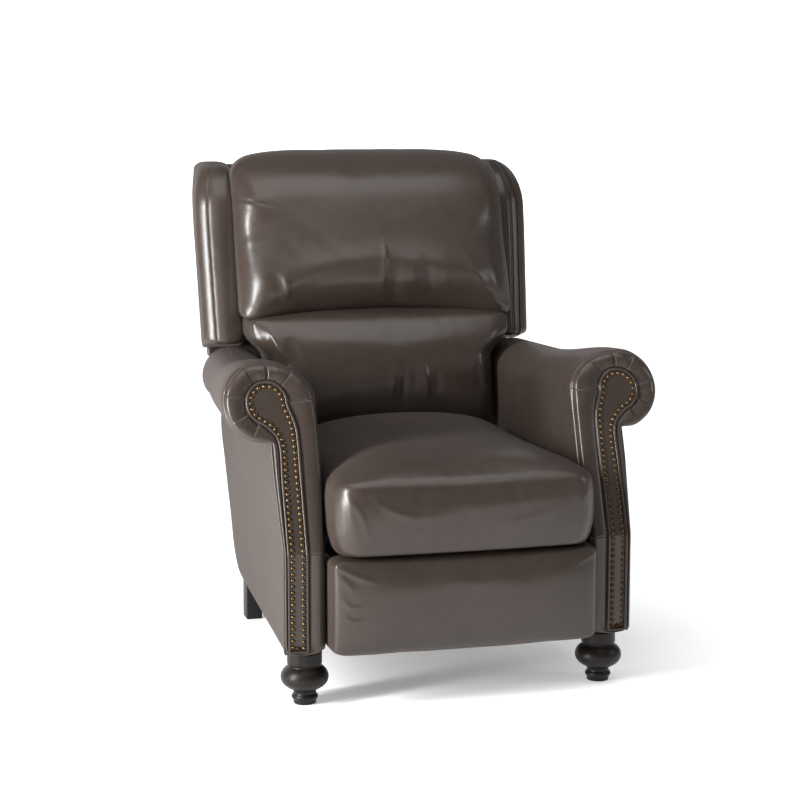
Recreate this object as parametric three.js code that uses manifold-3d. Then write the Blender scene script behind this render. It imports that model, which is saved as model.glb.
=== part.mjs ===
// A wingback recliner on turned front feet: rolled arms with nailed front panels, a winged back that
// reclines, and a seat that glides forward and swings a footrest out on folding links.
// Millimetres. X runs across the chair, Y from front to back, Z up from the floor. Left and right are
// as seen from the front, and both sides come from the same functions with a side of -1 or 1.
import * as THREE from "three";
import { mergeVertices } from "three/addons/utils/BufferGeometryUtils.js";
import Module from "manifold-3d";

const wasm = await Module();
wasm.setup();

// Clearances
const seatGap = 0.3; // between two pieces that rest on each other
const overrun = 5; // how far a cutter reaches past what it cuts

// Arms
const armBottom = 106;
const armKink = 313; // height where the front starts to lean back
const armFront = -46;
const armHeadLean = 20.2; // degrees that the front leans back above the kink
const armInner = 274.5; // inner face at the front, from the middle of the chair
const armOuter = 367;
const armOuterDraw = 7; // how much further in the outer front edge is below the kink
const armOuterDrawHeight = 150;
const armInnerLean = 8.5; // how far the inner face comes in above the kink
const armInnerLeanHeight = 137;
const armRear = 705;
const armRearInner = 258;
const armRearOuter = 350;
const armRearFootOuter = 321; // outer face at the rear, low down
const armRearFootHeight = 150;
const armRearOuterHeight = 450;
const armCornerHeight = 96; // rounding of the lower rear corner
const armCornerLength = 125;
const rollTopFront = 676;
const rollTopRear = 637;
const rollFallLead = 45; // the fall of the top starts this far ahead of the head's edge
const rollFallLength = 414;
const rollOuterFront = 458;
const rollOuterRear = 389;
const rollRadiusFront = 78;
const rollRadiusRear = 60;
const rollRearDrop = 16; // fall of the top under the wings
const rollRearDropLength = 50;
const headRound = 24; // depth of the soft edge round the arm's front
const armHeadRows = 8;
const rollTuckAngle = -100; // where the roll meets the outer side, from level
const armStationShares = [0, 0.13, 0.27, 0.42, 0.57, 0.72, 0.86, 0.94, 1];
// How far each ring of the soft front edge has gone from the arm's outline to the panel's
const headEdgeShares = [0.06, 0.18, 0.5, 0.88];
const headEdgeDepthShares = [0.42, 0.1, -0.12, -0.06]; // of the soft edge's depth

// Nailed front panels
const panelThick = 10;
const panelInner = 310.5;
const panelOuter = 354;
const panelBottomInset = 7;
const panelHeadX = 369.5;
const panelHeadZ = 596.5;
const panelHeadR = 43;
const panelNeckX = 372; // where the head's underside comes down to the stem
const panelNeckZ = 547;
const panelStemTop = 525;
const weltHigh = 3.5;
const weltWide = 7;

// Front feet and their bolts
const footX = 310.5;
const footNeckR = 34.9;
const footBulbR = 47.9;
const footBulbZ = 54;
const footGrooveR = 32.6;
const footGrooveZ = 78;
const footWaistR = 22.5;
const footWaistZ = 26;
const footRingR = 26.6;
const footRingZ = 14;
const footBaseR = 22.7;
const footBaseHigh = 8;
const footSides = 24;
const boltR = 4;
const boltHoleR = 4.8;
const boltDown = 38; // into the foot
const boltUp = 45; // into the arm

// Rear legs
const legTopWide = 40;
const legFootWide = 36;
const legOuter = 300;
const legAhead = 53; // front of the leg, from the arm's rear
const legFrontY = armRear - legAhead;
const legTopDeep = 48;
const legFootDeep = 44;
const legTop = 190;
const legRake = 6;

// Rear panel and cross rail of the frame
const rearPanelTop = 277;
const rearPanelThick = 22;
const rearPanelClear = 3; // to each arm
const crossRailY = 545;
const crossRailDeep = 24;
const crossRailHigh = 62;
const crossRailZ = 112;

// Footrest linkage, side view. Both four-pivot loops in it are parallelograms, so they close at
// every position: rear and front links turn alike, and the upper and outer links never turn.
const rearPivotY = 60; // rear link's pivot on the seat's side plate
const rearPivotZ = 280;
const linkReach = 175; // from that pivot to the one on the upper link
const linkFoldAngle = -63; // direction of the rear link when folded, from rearward level
const pairAhead = 50; // front link ahead of the rear link
const earY = -7.9; // outer link's pivots from the upper link's
const earZ = 44.3;
const boardPivotY = -14;
const boardPivotZ = 235;
const linkWide = 18;
const linkThick = 3;
const linkGap = 2; // between layers of links
const pinR = 4;
const pinClear = 0.4;
const loosePinClear = 1; // at the two pivots where the links' loops are left open
const sidePlateX = 222; // inner face of the seat's side plate
const tubeR = 6;
const tubeReach = 50; // tube between the rear links, from their pivot

// Footrest
const boardBack = -34;
const boardThick = 18;
const padHalf = 272;
const padBottom = 114;
const padTop = 304;
const padEdgeThick = 42;
const padCrown = 18;
const boardShare = 0.955; // of the pad's outline
const pocketShare = 0.962; // the board sits in a pocket in the pad

// Seat
const seatHalfFront = 269;
const seatHalfRear = 251;
const seatFront = -106;
const seatRear = 489;
const seatBottom = 311;
const seatEdge = 452;
const seatCrown = 40;
const seatRearLift = 34; // how much higher the middle of the rear edge is than its corners
const seatBulge = 9;
const seatCornerShare = 0.17; // rounding of its corners, of half its size
const glideForward = 60;
const glideRise = 9;
const railThick = 22;
const railTop = 307.5;
const railBottom = 276;
const seatRailOuter = 198;
const seatRailFront = -28;
const seatRailRear = 484;
const springCount = 4;
const springPitch = 92;
const springWave = 22;
const springWaves = 7;
const springR = 2;
const springArch = 7;
const springDrop = 8; // under the top of the rails

// Base rails and glide shoes
const baseRailX = 228; // inner edge of the flanges
const baseRailOuter = 249;
const baseRailSheet = 2.5;
const baseRailHigh = 28;
const baseRailFrontY = 12;
const baseRailRearY = 420;
const baseRailFrontZ = 262; // top of the rail at its front end
const shoeClear = 0.5;
const shoeLong = 44;
const shoeFrontY = 98;
const shoeRearY = 340;
const packerFrontY = 150;
const packerRearY = 400;

// Back
const backFootZ = 300;
const backLeanAngle = 16; // degrees from upright
const backRearFoot = 705; // rear face at the lower end
const backTop = 1038;
const backThick = 25;
const backHalfLow = 250;
const backHalfHigh = 362;
const backShoulderZ = 598; // lower edge of the wide part, behind the arms
const cheekThick = 12; // the panel's sides turn forward between the arms
const cheekDepth = 92;
const cheekFootZ = 342;
const backTopRound = 74;
const postOuter = 216.5;
const postWide = 34;
const postDeep = 58;
const postBottom = 312;
const postTop = 1012;
const backRailHigh = 46;
const backRailLowZ = 322;
const backRailMidZ = 640;
const webHigh = 45;
const webThick = 3;
const webCount = 3;
const backPivotY = 660;
const backPivotZ = 320;
const bracketThick = 3;

// Wings
const wingInner = 294;
const wingOuter = 391;
const wingOuterFoot = 384;
const wingFoot = 640; // just above the arms
const wingHeelDrop = 18; // the lower end falls behind the arms, and still clears them as the seat glides
const wingHeelStart = 684;
const wingHeelRun = 84;
const wingTop = 1042;
const wingNoseFoot = 656; // foremost line of the wing, near its outer side
const wingNoseLeanAngle = 10.5;
const wingSeamX = 346; // the seam between the nose and the wing's inner face
const wingSeamXTop = 358;
const wingSeamBack = 30; // how far behind the nose the seam is
const wingSeamBackTop = 54;
const wingNoseRound = 12;
const wingTopRun = 92; // how far the nose falls back at the top
const wingTopRise = 100;
const wingTail = 371; // outer corner beside the back panel
const wingFootRound = 9;

// Back cushions
const pillowBack = 95; // rear of both cushions, from the back's rear face
const lumbarBottom = 446;
const lumbarTop = 716;
const lumbarHalf = 254;
const lumbarShoulder = 20; // fall of the top edge towards its corners, under the head cushion
const lumbarFlare = 10; // how much wider it is above the arms
const lumbarFlareFrom = 668;
const lumbarFlareRun = 34;
const lumbarBehindSeat = 31; // front edge of the side, low down, from the seat cushion's rear
const lumbarCrown = 62;
const headBottom = 688;
const headTop = 1070;
const headHalf = 313;
const headTopHalf = 311;
const headTuck = 23; // how much narrower the head cushion is between the wings
const headShoulder = 18; // fall of the top towards its corners
const headTopRoll = 46; // how far the top rolls back over the frame
const headSeam = 590;
const headCrown = 66;
const headArch = 32; // rise of the lower edge in the middle
const headRearFall = 26; // how much lower the top's rear edge is, over the back panel
const headLedgeRun = 26; // height over which the top comes back over the frame
const cushionGap = 3;

// Finishes
const leather = { color: 0x5a524c, roughness: 0.38, metalness: 0 };
const darkWood = { color: 0x231f1c, roughness: 0.35, metalness: 0 };
const rawWood = { color: 0xb08a5c, roughness: 0.8, metalness: 0 };
const steel = { color: 0x3a3b3d, roughness: 0.5, metalness: 0.8 };
const zinc = { color: 0x9a9c9e, roughness: 0.4, metalness: 0.9 };
const nylon = { color: 0x1c1c1c, roughness: 0.6, metalness: 0 };
const webbing = { color: 0x24211f, roughness: 0.9, metalness: 0 };

const degrees = Math.PI / 180;
const lerp = (a, b, t) => a + (b - a) * t;
const clamp = (t) => Math.min(1, Math.max(0, t));
const ease = (t) => 0.5 - 0.5 * Math.cos(Math.PI * clamp(t));

const chair = new THREE.Group();

function addPiece(name, geometry, finish) {
  geometry.computeVertexNormals();
  const mesh = new THREE.Mesh(geometry, new THREE.MeshStandardMaterial(finish));
  mesh.name = name;
  chair.add(mesh);
}

// Both sides of the chair: the builder makes the piece for the right, and the left one is mirrored.
function addPair(name, geometry, finish) {
  addPiece(name + "_right", geometry, finish);
  addPiece(name + "_left", mirrored(geometry), finish);
}

function mirrored(geometry) {
  const flipped = geometry.clone().scale(-1, 1, 1);
  const source = flipped.index ? flipped.toNonIndexed() : flipped;
  const position = source.attributes.position.array;
  const turned = new Float32Array(position.length);
  for (let i = 0; i < position.length; i += 9)
    for (let corner = 0; corner < 3; corner++)
      for (let axis = 0; axis < 3; axis++)
        turned[i + corner * 3 + axis] = position[i + (2 - corner) * 3 + axis];
  return new THREE.BufferGeometry().setAttribute(
    "position",
    new THREE.BufferAttribute(turned, 3),
  );
}

function fromTriangles(points, triangles) {
  let volume = 0;
  for (const [a, b, c] of triangles)
    volume += points[a].dot(new THREE.Vector3().crossVectors(points[b], points[c]));
  const data = [];
  for (const [a, b, c] of triangles)
    for (const i of volume > 0 ? [a, b, c] : [a, c, b]) data.push(...points[i].toArray());
  return new THREE.BufferGeometry().setAttribute(
    "position",
    new THREE.Float32BufferAttribute(data, 3),
  );
}

// A closed skin through rings of equal length. A ring of one point is a pole; an end with a full
// ring is closed by rungs from its first half to its second, or flat across when the ends are level.
function skin(rings) {
  const points = [];
  const starts = rings.map((ring) => {
    const start = points.length;
    points.push(...ring);
    return start;
  });
  const triangles = [];
  const count = Math.max(...rings.map((ring) => ring.length));
  for (let r = 0; r + 1 < rings.length; r++) {
    const [a, b] = [starts[r], starts[r + 1]];
    for (let i = 0; i < count; i++) {
      const j = (i + 1) % count;
      if (rings[r].length === 1) triangles.push([a, b + j, b + i]);
      else if (rings[r + 1].length === 1) triangles.push([a + i, a + j, b]);
      else triangles.push([a + i, a + j, b + j], [a + i, b + j, b + i]);
    }
  }
  const rungs = (start, turn) => {
    for (let i = 0, j = count - 1; i + 1 < j; i++, j--) {
      const made = [[start + i, start + j, start + i + 1]];
      if (i + 1 < j - 1) made.push([start + i + 1, start + j, start + j - 1]);
      for (const [p, q, s] of made) triangles.push(turn ? [p, s, q] : [p, q, s]);
    }
  };
  if (rings[0].length > 1) rungs(starts[0], false);
  if (rings.at(-1).length > 1) rungs(starts.at(-1), true);
  return fromTriangles(points, triangles);
}

function solidOf(geometry) {
  const bare = new THREE.BufferGeometry().setAttribute(
    "position",
    (geometry.index ? geometry.toNonIndexed() : geometry).attributes.position,
  );
  const merged = mergeVertices(bare, 1e-4);
  return new wasm.Manifold(
    new wasm.Mesh({
      numProp: 3,
      vertProperties: merged.attributes.position.array,
      triVerts: new Uint32Array(merged.index.array),
    }),
  );
}

function geometryOf(solid) {
  const mesh = solid.getMesh();
  const geometry = new THREE.BufferGeometry();
  geometry.setAttribute("position", new THREE.BufferAttribute(mesh.vertProperties.slice(), 3));
  geometry.setIndex(new THREE.BufferAttribute(mesh.triVerts.slice(), 1));
  return geometry.toNonIndexed();
}

const cut = (geometry, ...tools) =>
  geometryOf(tools.reduce((rest, tool) => rest.subtract(solidOf(tool)), solidOf(geometry)));
const join = (geometry, ...more) =>
  geometryOf(more.reduce((whole, other) => whole.add(solidOf(other)), solidOf(geometry)));

function block(x0, x1, y0, y1, z0, z1) {
  const geometry = new THREE.BoxGeometry(x1 - x0, y1 - y0, z1 - z0);
  return geometry.translate((x0 + x1) / 2, (y0 + y1) / 2, (z0 + z1) / 2);
}

// A cylinder across the chair, its axis at (y, z).
function crossPin(x0, x1, y, z, radius, sides = 16) {
  const geometry = new THREE.CylinderGeometry(radius, radius, x1 - x0, sides);
  return geometry.rotateZ(Math.PI / 2).translate((x0 + x1) / 2, y, z);
}

// A plate that stands fore and aft: its outline's points are (y, z).
function sidePlate(shape, x0, x1, curveSegments = 8) {
  const geometry = new THREE.ExtrudeGeometry(shape, {
    depth: x1 - x0,
    bevelEnabled: false,
    curveSegments,
  });
  const turn = new THREE.Matrix4().makeBasis(
    new THREE.Vector3(0, 1, 0),
    new THREE.Vector3(0, 0, 1),
    new THREE.Vector3(1, 0, 0),
  );
  return geometry.applyMatrix4(turn).translate(x0, 0, 0);
}

// The outline of a strap that goes round all the given pivots, at the given distance.
function strapShape(pivots, radius) {
  const middle = pivots.reduce((sum, p) => sum.clone().add(p), new THREE.Vector2());
  middle.divideScalar(pivots.length);
  const order = [...pivots].sort((p, q) => p.clone().sub(middle).angle() - q.clone().sub(middle).angle());
  const shape = new THREE.Shape();
  order.forEach((p, i) => {
    const before = order.at(i - 1);
    const after = order[(i + 1) % order.length];
    const into = p.clone().sub(before).angle() - Math.PI / 2;
    let out = after.clone().sub(p).angle() - Math.PI / 2;
    while (out < into) out += 2 * Math.PI;
    if (i === 0) shape.moveTo(p.x + radius * Math.cos(into), p.y + radius * Math.sin(into));
    else shape.lineTo(p.x + radius * Math.cos(into), p.y + radius * Math.sin(into));
    shape.absarc(p.x, p.y, radius, into, out, false);
  });
  shape.closePath();
  return shape;
}

const hole = (pivot, radius) => new THREE.Path().absarc(pivot.x, pivot.y, radius, 0, 2 * Math.PI, true);

// Front of the arm at a height, and how the lower rear corner rounds off.
const armFrontAt = (z) => armFront + Math.max(0, z - armKink) * Math.tan(armHeadLean * degrees);
function armRearAt(z) {
  const drop = clamp((armBottom + armCornerHeight - z) / (armCornerHeight * 1.02));
  return armRear - armCornerLength * (1 - Math.sqrt(1 - drop * drop));
}
function armInnerAt(z, along) {
  const front = armInner - armInnerLean * clamp((z - armKink) / armInnerLeanHeight);
  return lerp(front, armRearInner, along);
}
function armOuterAt(z, along) {
  const rise = clamp((z - armRearFootHeight) / (armRearOuterHeight - armRearFootHeight));
  const front = armOuter - armOuterDraw * (1 - clamp((z - armKink) / armOuterDrawHeight));
  return lerp(front, lerp(armRearFootOuter, armRearOuter, rise), along);
}

// The arm's outline at a share of its length, as pairs of points (x, z) at the inner and outer side.
function armOutline(along) {
  const length = armRear - armFrontAt(rollTopFront);
  const travelled = along * length;
  const fall = ease((travelled + rollFallLead) / rollFallLength);
  const rearFall = ease((travelled - length + rollRearDropLength) / rollRearDropLength);
  const top = lerp(rollTopFront, rollTopRear, fall) - rollRearDrop * rearFall;
  const radius = lerp(rollRadiusFront, rollRadiusRear, fall);
  const centreX = lerp(rollOuterFront, rollOuterRear, along) - radius;
  const centreZ = top - radius;
  const tuck = centreZ + radius * Math.sin(rollTuckAngle * degrees) - seatGap;
  const levels = [armBottom, lerp(armBottom, armKink, 0.5), armKink];
  levels.push(lerp(armKink, tuck, 1 / 3), lerp(armKink, tuck, 2 / 3), tuck);
  const pairs = levels.map((z) => [
    [armInnerAt(z, along), z],
    [armOuterAt(z, along), z],
  ]);
  for (let row = 1; row <= armHeadRows; row++) {
    const share = row / armHeadRows;
    const outerAngle = lerp(rollTuckAngle, 90, share) * degrees;
    const outer = [centreX + radius * Math.cos(outerAngle), centreZ + radius * Math.sin(outerAngle)];
    const shoulder = clamp((share - 0.25) / 0.75);
    const innerAngle = lerp(180, 90, shoulder) * degrees;
    const inner = [
      centreX + (centreX - armInnerAt(centreZ, along)) * Math.cos(innerAngle),
      shoulder > 0 ? centreZ + radius * Math.sin(innerAngle) : lerp(tuck, centreZ, share * 4),
    ];
    pairs.push([inner, outer]);
  }
  return pairs;
}

// The nailed panel's outline, with as many pairs at the same heights as the arm's.
function panelOutline(grow) {
  const tuck = armOutline(0)[5][0][1];
  const foot = armBottom + panelBottomInset - grow;
  const levels = [foot, lerp(armBottom, armKink, 0.5), armKink];
  levels.push(lerp(armKink, tuck, 1 / 3), lerp(armKink, tuck, 2 / 3), Math.min(tuck, panelStemTop));
  const pairs = levels.map((z) => [
    [panelInner - grow, z],
    [panelOuter + grow, z],
  ]);
  const radius = panelHeadR + grow;
  for (let row = 1; row <= armHeadRows; row++) {
    const share = (row - 1) / (armHeadRows - 1);
    const outerAngle = lerp(-75, 90, share) * degrees;
    let outer = [panelHeadX + radius * Math.cos(outerAngle), panelHeadZ + radius * Math.sin(outerAngle)];
    if (row === 1) outer = [panelNeckX + grow * 0.7, panelNeckZ - grow * 0.7];
    const innerAngle = lerp(200, 90, share) * degrees;
    let inner = [panelHeadX + radius * Math.cos(innerAngle), panelHeadZ + radius * Math.sin(innerAngle)];
    if (row === 1) inner = [panelInner + 3 - grow, lerp(panelStemTop, inner[1], 0.5)];
    pairs.push([inner, outer]);
  }
  return pairs;
}

// A ring from pairs: up the inner side, over the top and down the outer side.
function ringFrom(pairs, place) {
  const inner = pairs.map(([p]) => place(...p));
  const outer = pairs.slice(0, -1).map(([, p]) => place(...p));
  return [...inner, ...outer.reverse()];
}

const blendPairs = (a, b, share) =>
  a.map((pair, i) => pair.map((p, k) => p.map((v, axis) => lerp(v, b[i][k][axis], share))));

function armGeometry() {
  const front = armOutline(0);
  const pocket = panelOutline(seatGap);
  const faceAt = (depth) => (x, z) => new THREE.Vector3(x, armFrontAt(z) + depth, z);
  const rings = [ringFrom(pocket, faceAt(panelThick)), ringFrom(pocket, faceAt(0))];
  for (let i = headEdgeShares.length - 1; i >= 0; i--)
    rings.push(
      ringFrom(blendPairs(front, pocket, headEdgeShares[i]), faceAt(headRound * headEdgeDepthShares[i])),
    );
  for (const along of armStationShares)
    rings.push(
      ringFrom(armOutline(along), (x, z) => {
        const start = armFrontAt(z) + headRound;
        return new THREE.Vector3(x, lerp(start, armRearAt(z), along), z);
      }),
    );
  return skin(rings);
}

function panelGeometry() {
  const faceAt = (depth) => (x, z) => new THREE.Vector3(x, armFrontAt(z) + depth, z);
  const board = panelOutline(0);
  const weltTop = panelOutline(-weltWide * 0.25);
  const weltIn = panelOutline(-weltWide * 0.75);
  const field = panelOutline(-weltWide);
  return skin([
    ringFrom(board, faceAt(panelThick - seatGap)),
    ringFrom(board, faceAt(0)),
    ringFrom(weltTop, faceAt(-weltHigh)),
    ringFrom(weltIn, faceAt(-weltHigh)),
    ringFrom(field, faceAt(0)),
  ]);
}

// Turned front foot: bulb, waist and small ring, with a blind hole for its bolt.
function footGeometry() {
  const profile = [
    [0, 0],
    [footBaseR, 0],
    [footBaseR, footBaseHigh],
    [footRingR, footRingZ - 2],
    [footRingR, footRingZ + 2],
    [footWaistR, footRingZ + 6],
    [footWaistR, footWaistZ],
  ];
  for (const angle of [-52, -30, -10, 10, 30]) {
    const lift = (footBulbZ - footWaistZ) * 1.02;
    profile.push([
      lerp(footWaistR, footBulbR, Math.cos(angle * degrees)),
      footBulbZ + lift * Math.sin(angle * degrees),
    ]);
  }
  profile.push(
    [footGrooveR, footGrooveZ - 1],
    [footGrooveR, footGrooveZ + 1],
    [footNeckR, footGrooveZ + 3],
    [footNeckR, armBottom - seatGap],
    [boltHoleR, armBottom - seatGap],
    [boltHoleR, armBottom - boltDown - seatGap],
    [0, armBottom - boltDown - seatGap],
  );
  const lathe = new THREE.LatheGeometry(
    profile.map(([r, z]) => new THREE.Vector2(r, z)),
    footSides,
  );
  return lathe.rotateX(Math.PI / 2).translate(footX, 0, 0);
}

function uprightPin(radius, z0, z1, sides = 12) {
  const geometry = new THREE.CylinderGeometry(radius, radius, z1 - z0, sides);
  return geometry.rotateX(Math.PI / 2).translate(footX, 0, (z0 + z1) / 2);
}

function legGeometry() {
  const ring = (z, wide, deep, shift) => {
    const x0 = legOuter - wide;
    const y0 = legFrontY + shift;
    return [
      new THREE.Vector3(x0, y0, z),
      new THREE.Vector3(legOuter, y0, z),
      new THREE.Vector3(legOuter, y0 + deep, z),
      new THREE.Vector3(x0, y0 + deep, z),
    ];
  };
  return skin([ring(0, legFootWide, legFootDeep, legRake), ring(legTop, legTopWide, legTopDeep, 0)]);
}

const arm = armGeometry();
const foot = footGeometry();
const boltHole = uprightPin(boltHoleR, armBottom - overrun, armBottom + boltUp + seatGap);
addPair("arm", cut(arm, boltHole), leather);
addPair("arm_front_panel", panelGeometry(), leather);
addPair("front_foot", foot, darkWood);
addPair("foot_bolt", uprightPin(boltR, armBottom - boltDown, armBottom + boltUp), zinc);
const armBelow = arm.clone().translate(0, 0, -seatGap);
addPair("rear_leg", cut(legGeometry(), armBelow, arm), darkWood);

// Frame between the arms
const rearPanelHalf = armRearInner - rearPanelClear;
addPiece(
  "rear_panel",
  block(-rearPanelHalf, rearPanelHalf, armRear - rearPanelThick, armRear, armBottom, rearPanelTop),
  leather,
);
const crossRailHalf = armRearInner - seatGap;
addPiece(
  "cross_rail",
  block(
    -crossRailHalf,
    crossRailHalf,
    crossRailY,
    crossRailY + crossRailDeep,
    crossRailZ,
    crossRailZ + crossRailHigh,
  ),
  rawWood,
);

// Base rails: channels that the seat's shoes glide in, packed out from the arms
const railSlope = glideRise / glideForward;
const baseRailTopAt = (y) => baseRailFrontZ - (y - baseRailFrontY) * railSlope;
function slopedPlate(x0, x1, y0, y1, under0, under1) {
  const shape = new THREE.Shape();
  shape.moveTo(y0, baseRailTopAt(y0) - under1);
  shape.lineTo(y1, baseRailTopAt(y1) - under1);
  shape.lineTo(y1, baseRailTopAt(y1) - under0);
  shape.lineTo(y0, baseRailTopAt(y0) - under0);
  shape.closePath();
  return sidePlate(shape, x0, x1);
}
function baseRailGeometry() {
  const outside = slopedPlate(baseRailX, baseRailOuter, baseRailFrontY, baseRailRearY, 0, baseRailHigh);
  const inside = slopedPlate(
    baseRailX - overrun,
    baseRailOuter - baseRailSheet,
    baseRailFrontY - overrun,
    baseRailRearY + overrun,
    baseRailSheet,
    baseRailHigh - baseRailSheet,
  );
  return cut(outside, inside);
}
addPair("base_rail", baseRailGeometry(), steel);
function packerGeometry() {
  const armFaceAt = (y) => lerp(armInner, armRearInner, (y - armFront - headRound) / (armRear - armFront));
  const shape = new THREE.Shape();
  shape.moveTo(baseRailOuter + seatGap, packerFrontY);
  shape.lineTo(armFaceAt(packerFrontY) + overrun, packerFrontY);
  shape.lineTo(armFaceAt(packerRearY) + overrun, packerRearY);
  shape.lineTo(baseRailOuter + seatGap, packerRearY);
  shape.closePath();
  const bottom = baseRailTopAt(packerRearY) - baseRailHigh;
  const high = baseRailTopAt(packerFrontY) - bottom;
  const geometry = new THREE.ExtrudeGeometry(shape, { depth: high, bevelEnabled: false });
  return cut(geometry.translate(0, 0, bottom), arm.clone().translate(-seatGap, 0, 0));
}
addPair("rail_packer", packerGeometry(), rawWood);

// Pivots of the linkage, as (y, z)
const point = (y, z) => new THREE.Vector2(y, z);
const foldAngle = linkFoldAngle * degrees;
const foldTo = (from, length) =>
  from.clone().add(point(length * Math.cos(foldAngle), length * Math.sin(foldAngle)));
const ahead = point(-pairAhead, 0);
const ear = point(earY, earZ);
const rearPivot = point(rearPivotY, rearPivotZ);
const frontPivot = rearPivot.clone().add(ahead);
const rearCrossing = foldTo(rearPivot, linkReach);
const frontCrossing = rearCrossing.clone().add(ahead);
const outerPivot = rearCrossing.clone().add(ear);
const boardPivot = point(boardPivotY, boardPivotZ);
const boardEar = boardPivot.clone().add(ear);

// Layers of links from the side plate inwards: rear and front links, upper and outer links, bracket
const layerOut = (layer) => sidePlateX - linkGap - (layer - 1) * (linkThick + linkGap);
const layerIn = (layer) => layerOut(layer) - linkThick;
const holeR = pinR + pinClear;
const looseHoleR = pinR + loosePinClear;

// A link in a layer: its strap goes round the pivots, holes are [pivot, radius], and studs are the
// pivots where it carries the pin for the layer outside it.
function link(layer, pivots, holes, studs) {
  const [x0, x1] = [layerIn(layer), layerOut(layer)];
  const strap = sidePlate(strapShape(pivots, linkWide / 2), x0, x1);
  const drills = holes.map(([p, radius]) => crossPin(x0 - overrun, x1 + overrun, p.x, p.y, radius));
  const pins = studs.map((p) => crossPin((x0 + x1) / 2, layerOut(layer - 1), p.x, p.y, pinR));
  return join(cut(strap, ...drills), ...pins);
}
const tubeEnd = foldTo(rearPivot, tubeReach);
const rearHoles = [rearPivot, rearCrossing, outerPivot].map((p) => [p, holeR]);
addPair("rear_link", link(1, [rearPivot, rearCrossing, outerPivot], rearHoles, []), steel);
const frontHoles = [
  [frontPivot, holeR],
  [frontCrossing, looseHoleR],
];
addPair("front_link", link(1, [frontPivot, frontCrossing], frontHoles, []), steel);
const upperPivots = [rearCrossing, frontCrossing, boardPivot];
addPair(
  "upper_link",
  link(2, upperPivots, [[boardPivot, holeR]], [rearCrossing, frontCrossing]),
  steel,
);
addPair(
  "outer_link",
  link(2, [outerPivot, boardEar], [[boardEar, looseHoleR]], [outerPivot]),
  steel,
);
const tubeHalf = layerIn(1) - seatGap;
addPiece("link_tube", crossPin(-tubeHalf, tubeHalf, tubeEnd.x, tubeEnd.y, tubeR), zinc);

// Footrest bracket: an upright plate on the two pivots, with a flange against the board
function bracketGeometry() {
  const inner = layerIn(3);
  const flangeBack = boardBack + seatGap;
  const foot = boardPivot.y - linkWide * 4;
  const heel = point(flangeBack + linkWide / 2, foot);
  const flangeTop = boardEar.y + linkWide / 2;
  const flange = block(
    inner - linkWide,
    inner + linkThick,
    flangeBack,
    flangeBack + linkThick,
    foot - linkWide / 2,
    flangeTop,
  );
  const toe = point(flangeBack + linkWide / 2, boardEar.y);
  const plate = link(3, [boardPivot, boardEar, toe, heel], [], [boardPivot, boardEar]);
  return join(plate, flange);
}
addPair("footrest_bracket", bracketGeometry(), steel);
// How high a cushion's face stands at a place in its outline, as a share of its crown.
const crownShare = (a, b) => ((1 - a ** 4) * (1 - b ** 4)) ** 0.75;

// A padded form from stacked outlines: each level gives its share of the outline and its height.
function cushion(outline, levels, place) {
  const rings = levels.map(([share, height]) =>
    share === 0 ? [place(0, 0, height)] : outline.map(([a, b]) => place(a * share, b * share, height)),
  );
  return skin(rings);
}

// Rounded rectangle about (0, 0), with half sizes and a corner radius.
function roundedOutline(halfA, halfB, radius, cornerSteps, sideSteps) {
  const points = [];
  const corners = [
    [1, -1, -90],
    [1, 1, 0],
    [-1, 1, 90],
    [-1, -1, 180],
  ];
  corners.forEach(([signA, signB, start], i) => {
    for (let k = 0; k <= cornerSteps; k++) {
      const angle = (start + (90 * k) / cornerSteps) * degrees;
      points.push([
        signA * (halfA - radius) + radius * Math.cos(angle),
        signB * (halfB - radius) + radius * Math.sin(angle),
      ]);
    }
    const from = points.at(-1);
    const [nextA, nextB, nextStart] = corners[(i + 1) % 4];
    const to = [
      nextA * (halfA - radius) + radius * Math.cos(nextStart * degrees),
      nextB * (halfB - radius) + radius * Math.sin(nextStart * degrees),
    ];
    for (let k = 1; k < sideSteps; k++)
      points.push([lerp(from[0], to[0], k / sideSteps), lerp(from[1], to[1], k / sideSteps)]);
  });
  return points;
}

// Seat cushion: boxed sides that bulge, drawn in between the corners, under a crowned top
function seatCushionGeometry() {
  const halfY = (seatRear - seatFront) / 2;
  const middleY = (seatRear + seatFront) / 2;
  const outline = roundedOutline(1, 1, seatCornerShare, 3, 6);
  const edge = seatEdge - seatBottom;
  const levels = [
    [0, seatBottom],
    [0.55, seatBottom],
    [0.93, seatBottom],
    [0.975, seatBottom + edge * 0.08],
    [1, seatBottom + edge * 0.35],
    [1, seatBottom + edge * 0.7],
    [0.985, seatBottom + edge * 0.94],
    [0.955, seatEdge],
    [0.87, seatEdge],
    [0.68, seatEdge],
    [0.38, seatEdge],
    [0, seatEdge],
  ];
  return cushion(outline, levels, (a, b, z) => {
    const half = lerp(seatHalfFront, seatHalfRear, (b + 1) / 2);
    const bow = b < 0 ? seatBulge * (1 - a * a) : 0;
    const high = clamp((z - seatBottom) / edge) ** 3;
    const lift = seatRearLift * high * (1 - a * a) * Math.max(0, b) ** 2;
    const dome = z < seatEdge ? 0 : seatCrown * crownShare(a, b);
    return new THREE.Vector3(a * half, middleY + b * halfY - bow, z + lift + dome);
  });
}
addPiece("seat_cushion", seatCushionGeometry(), leather);

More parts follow.
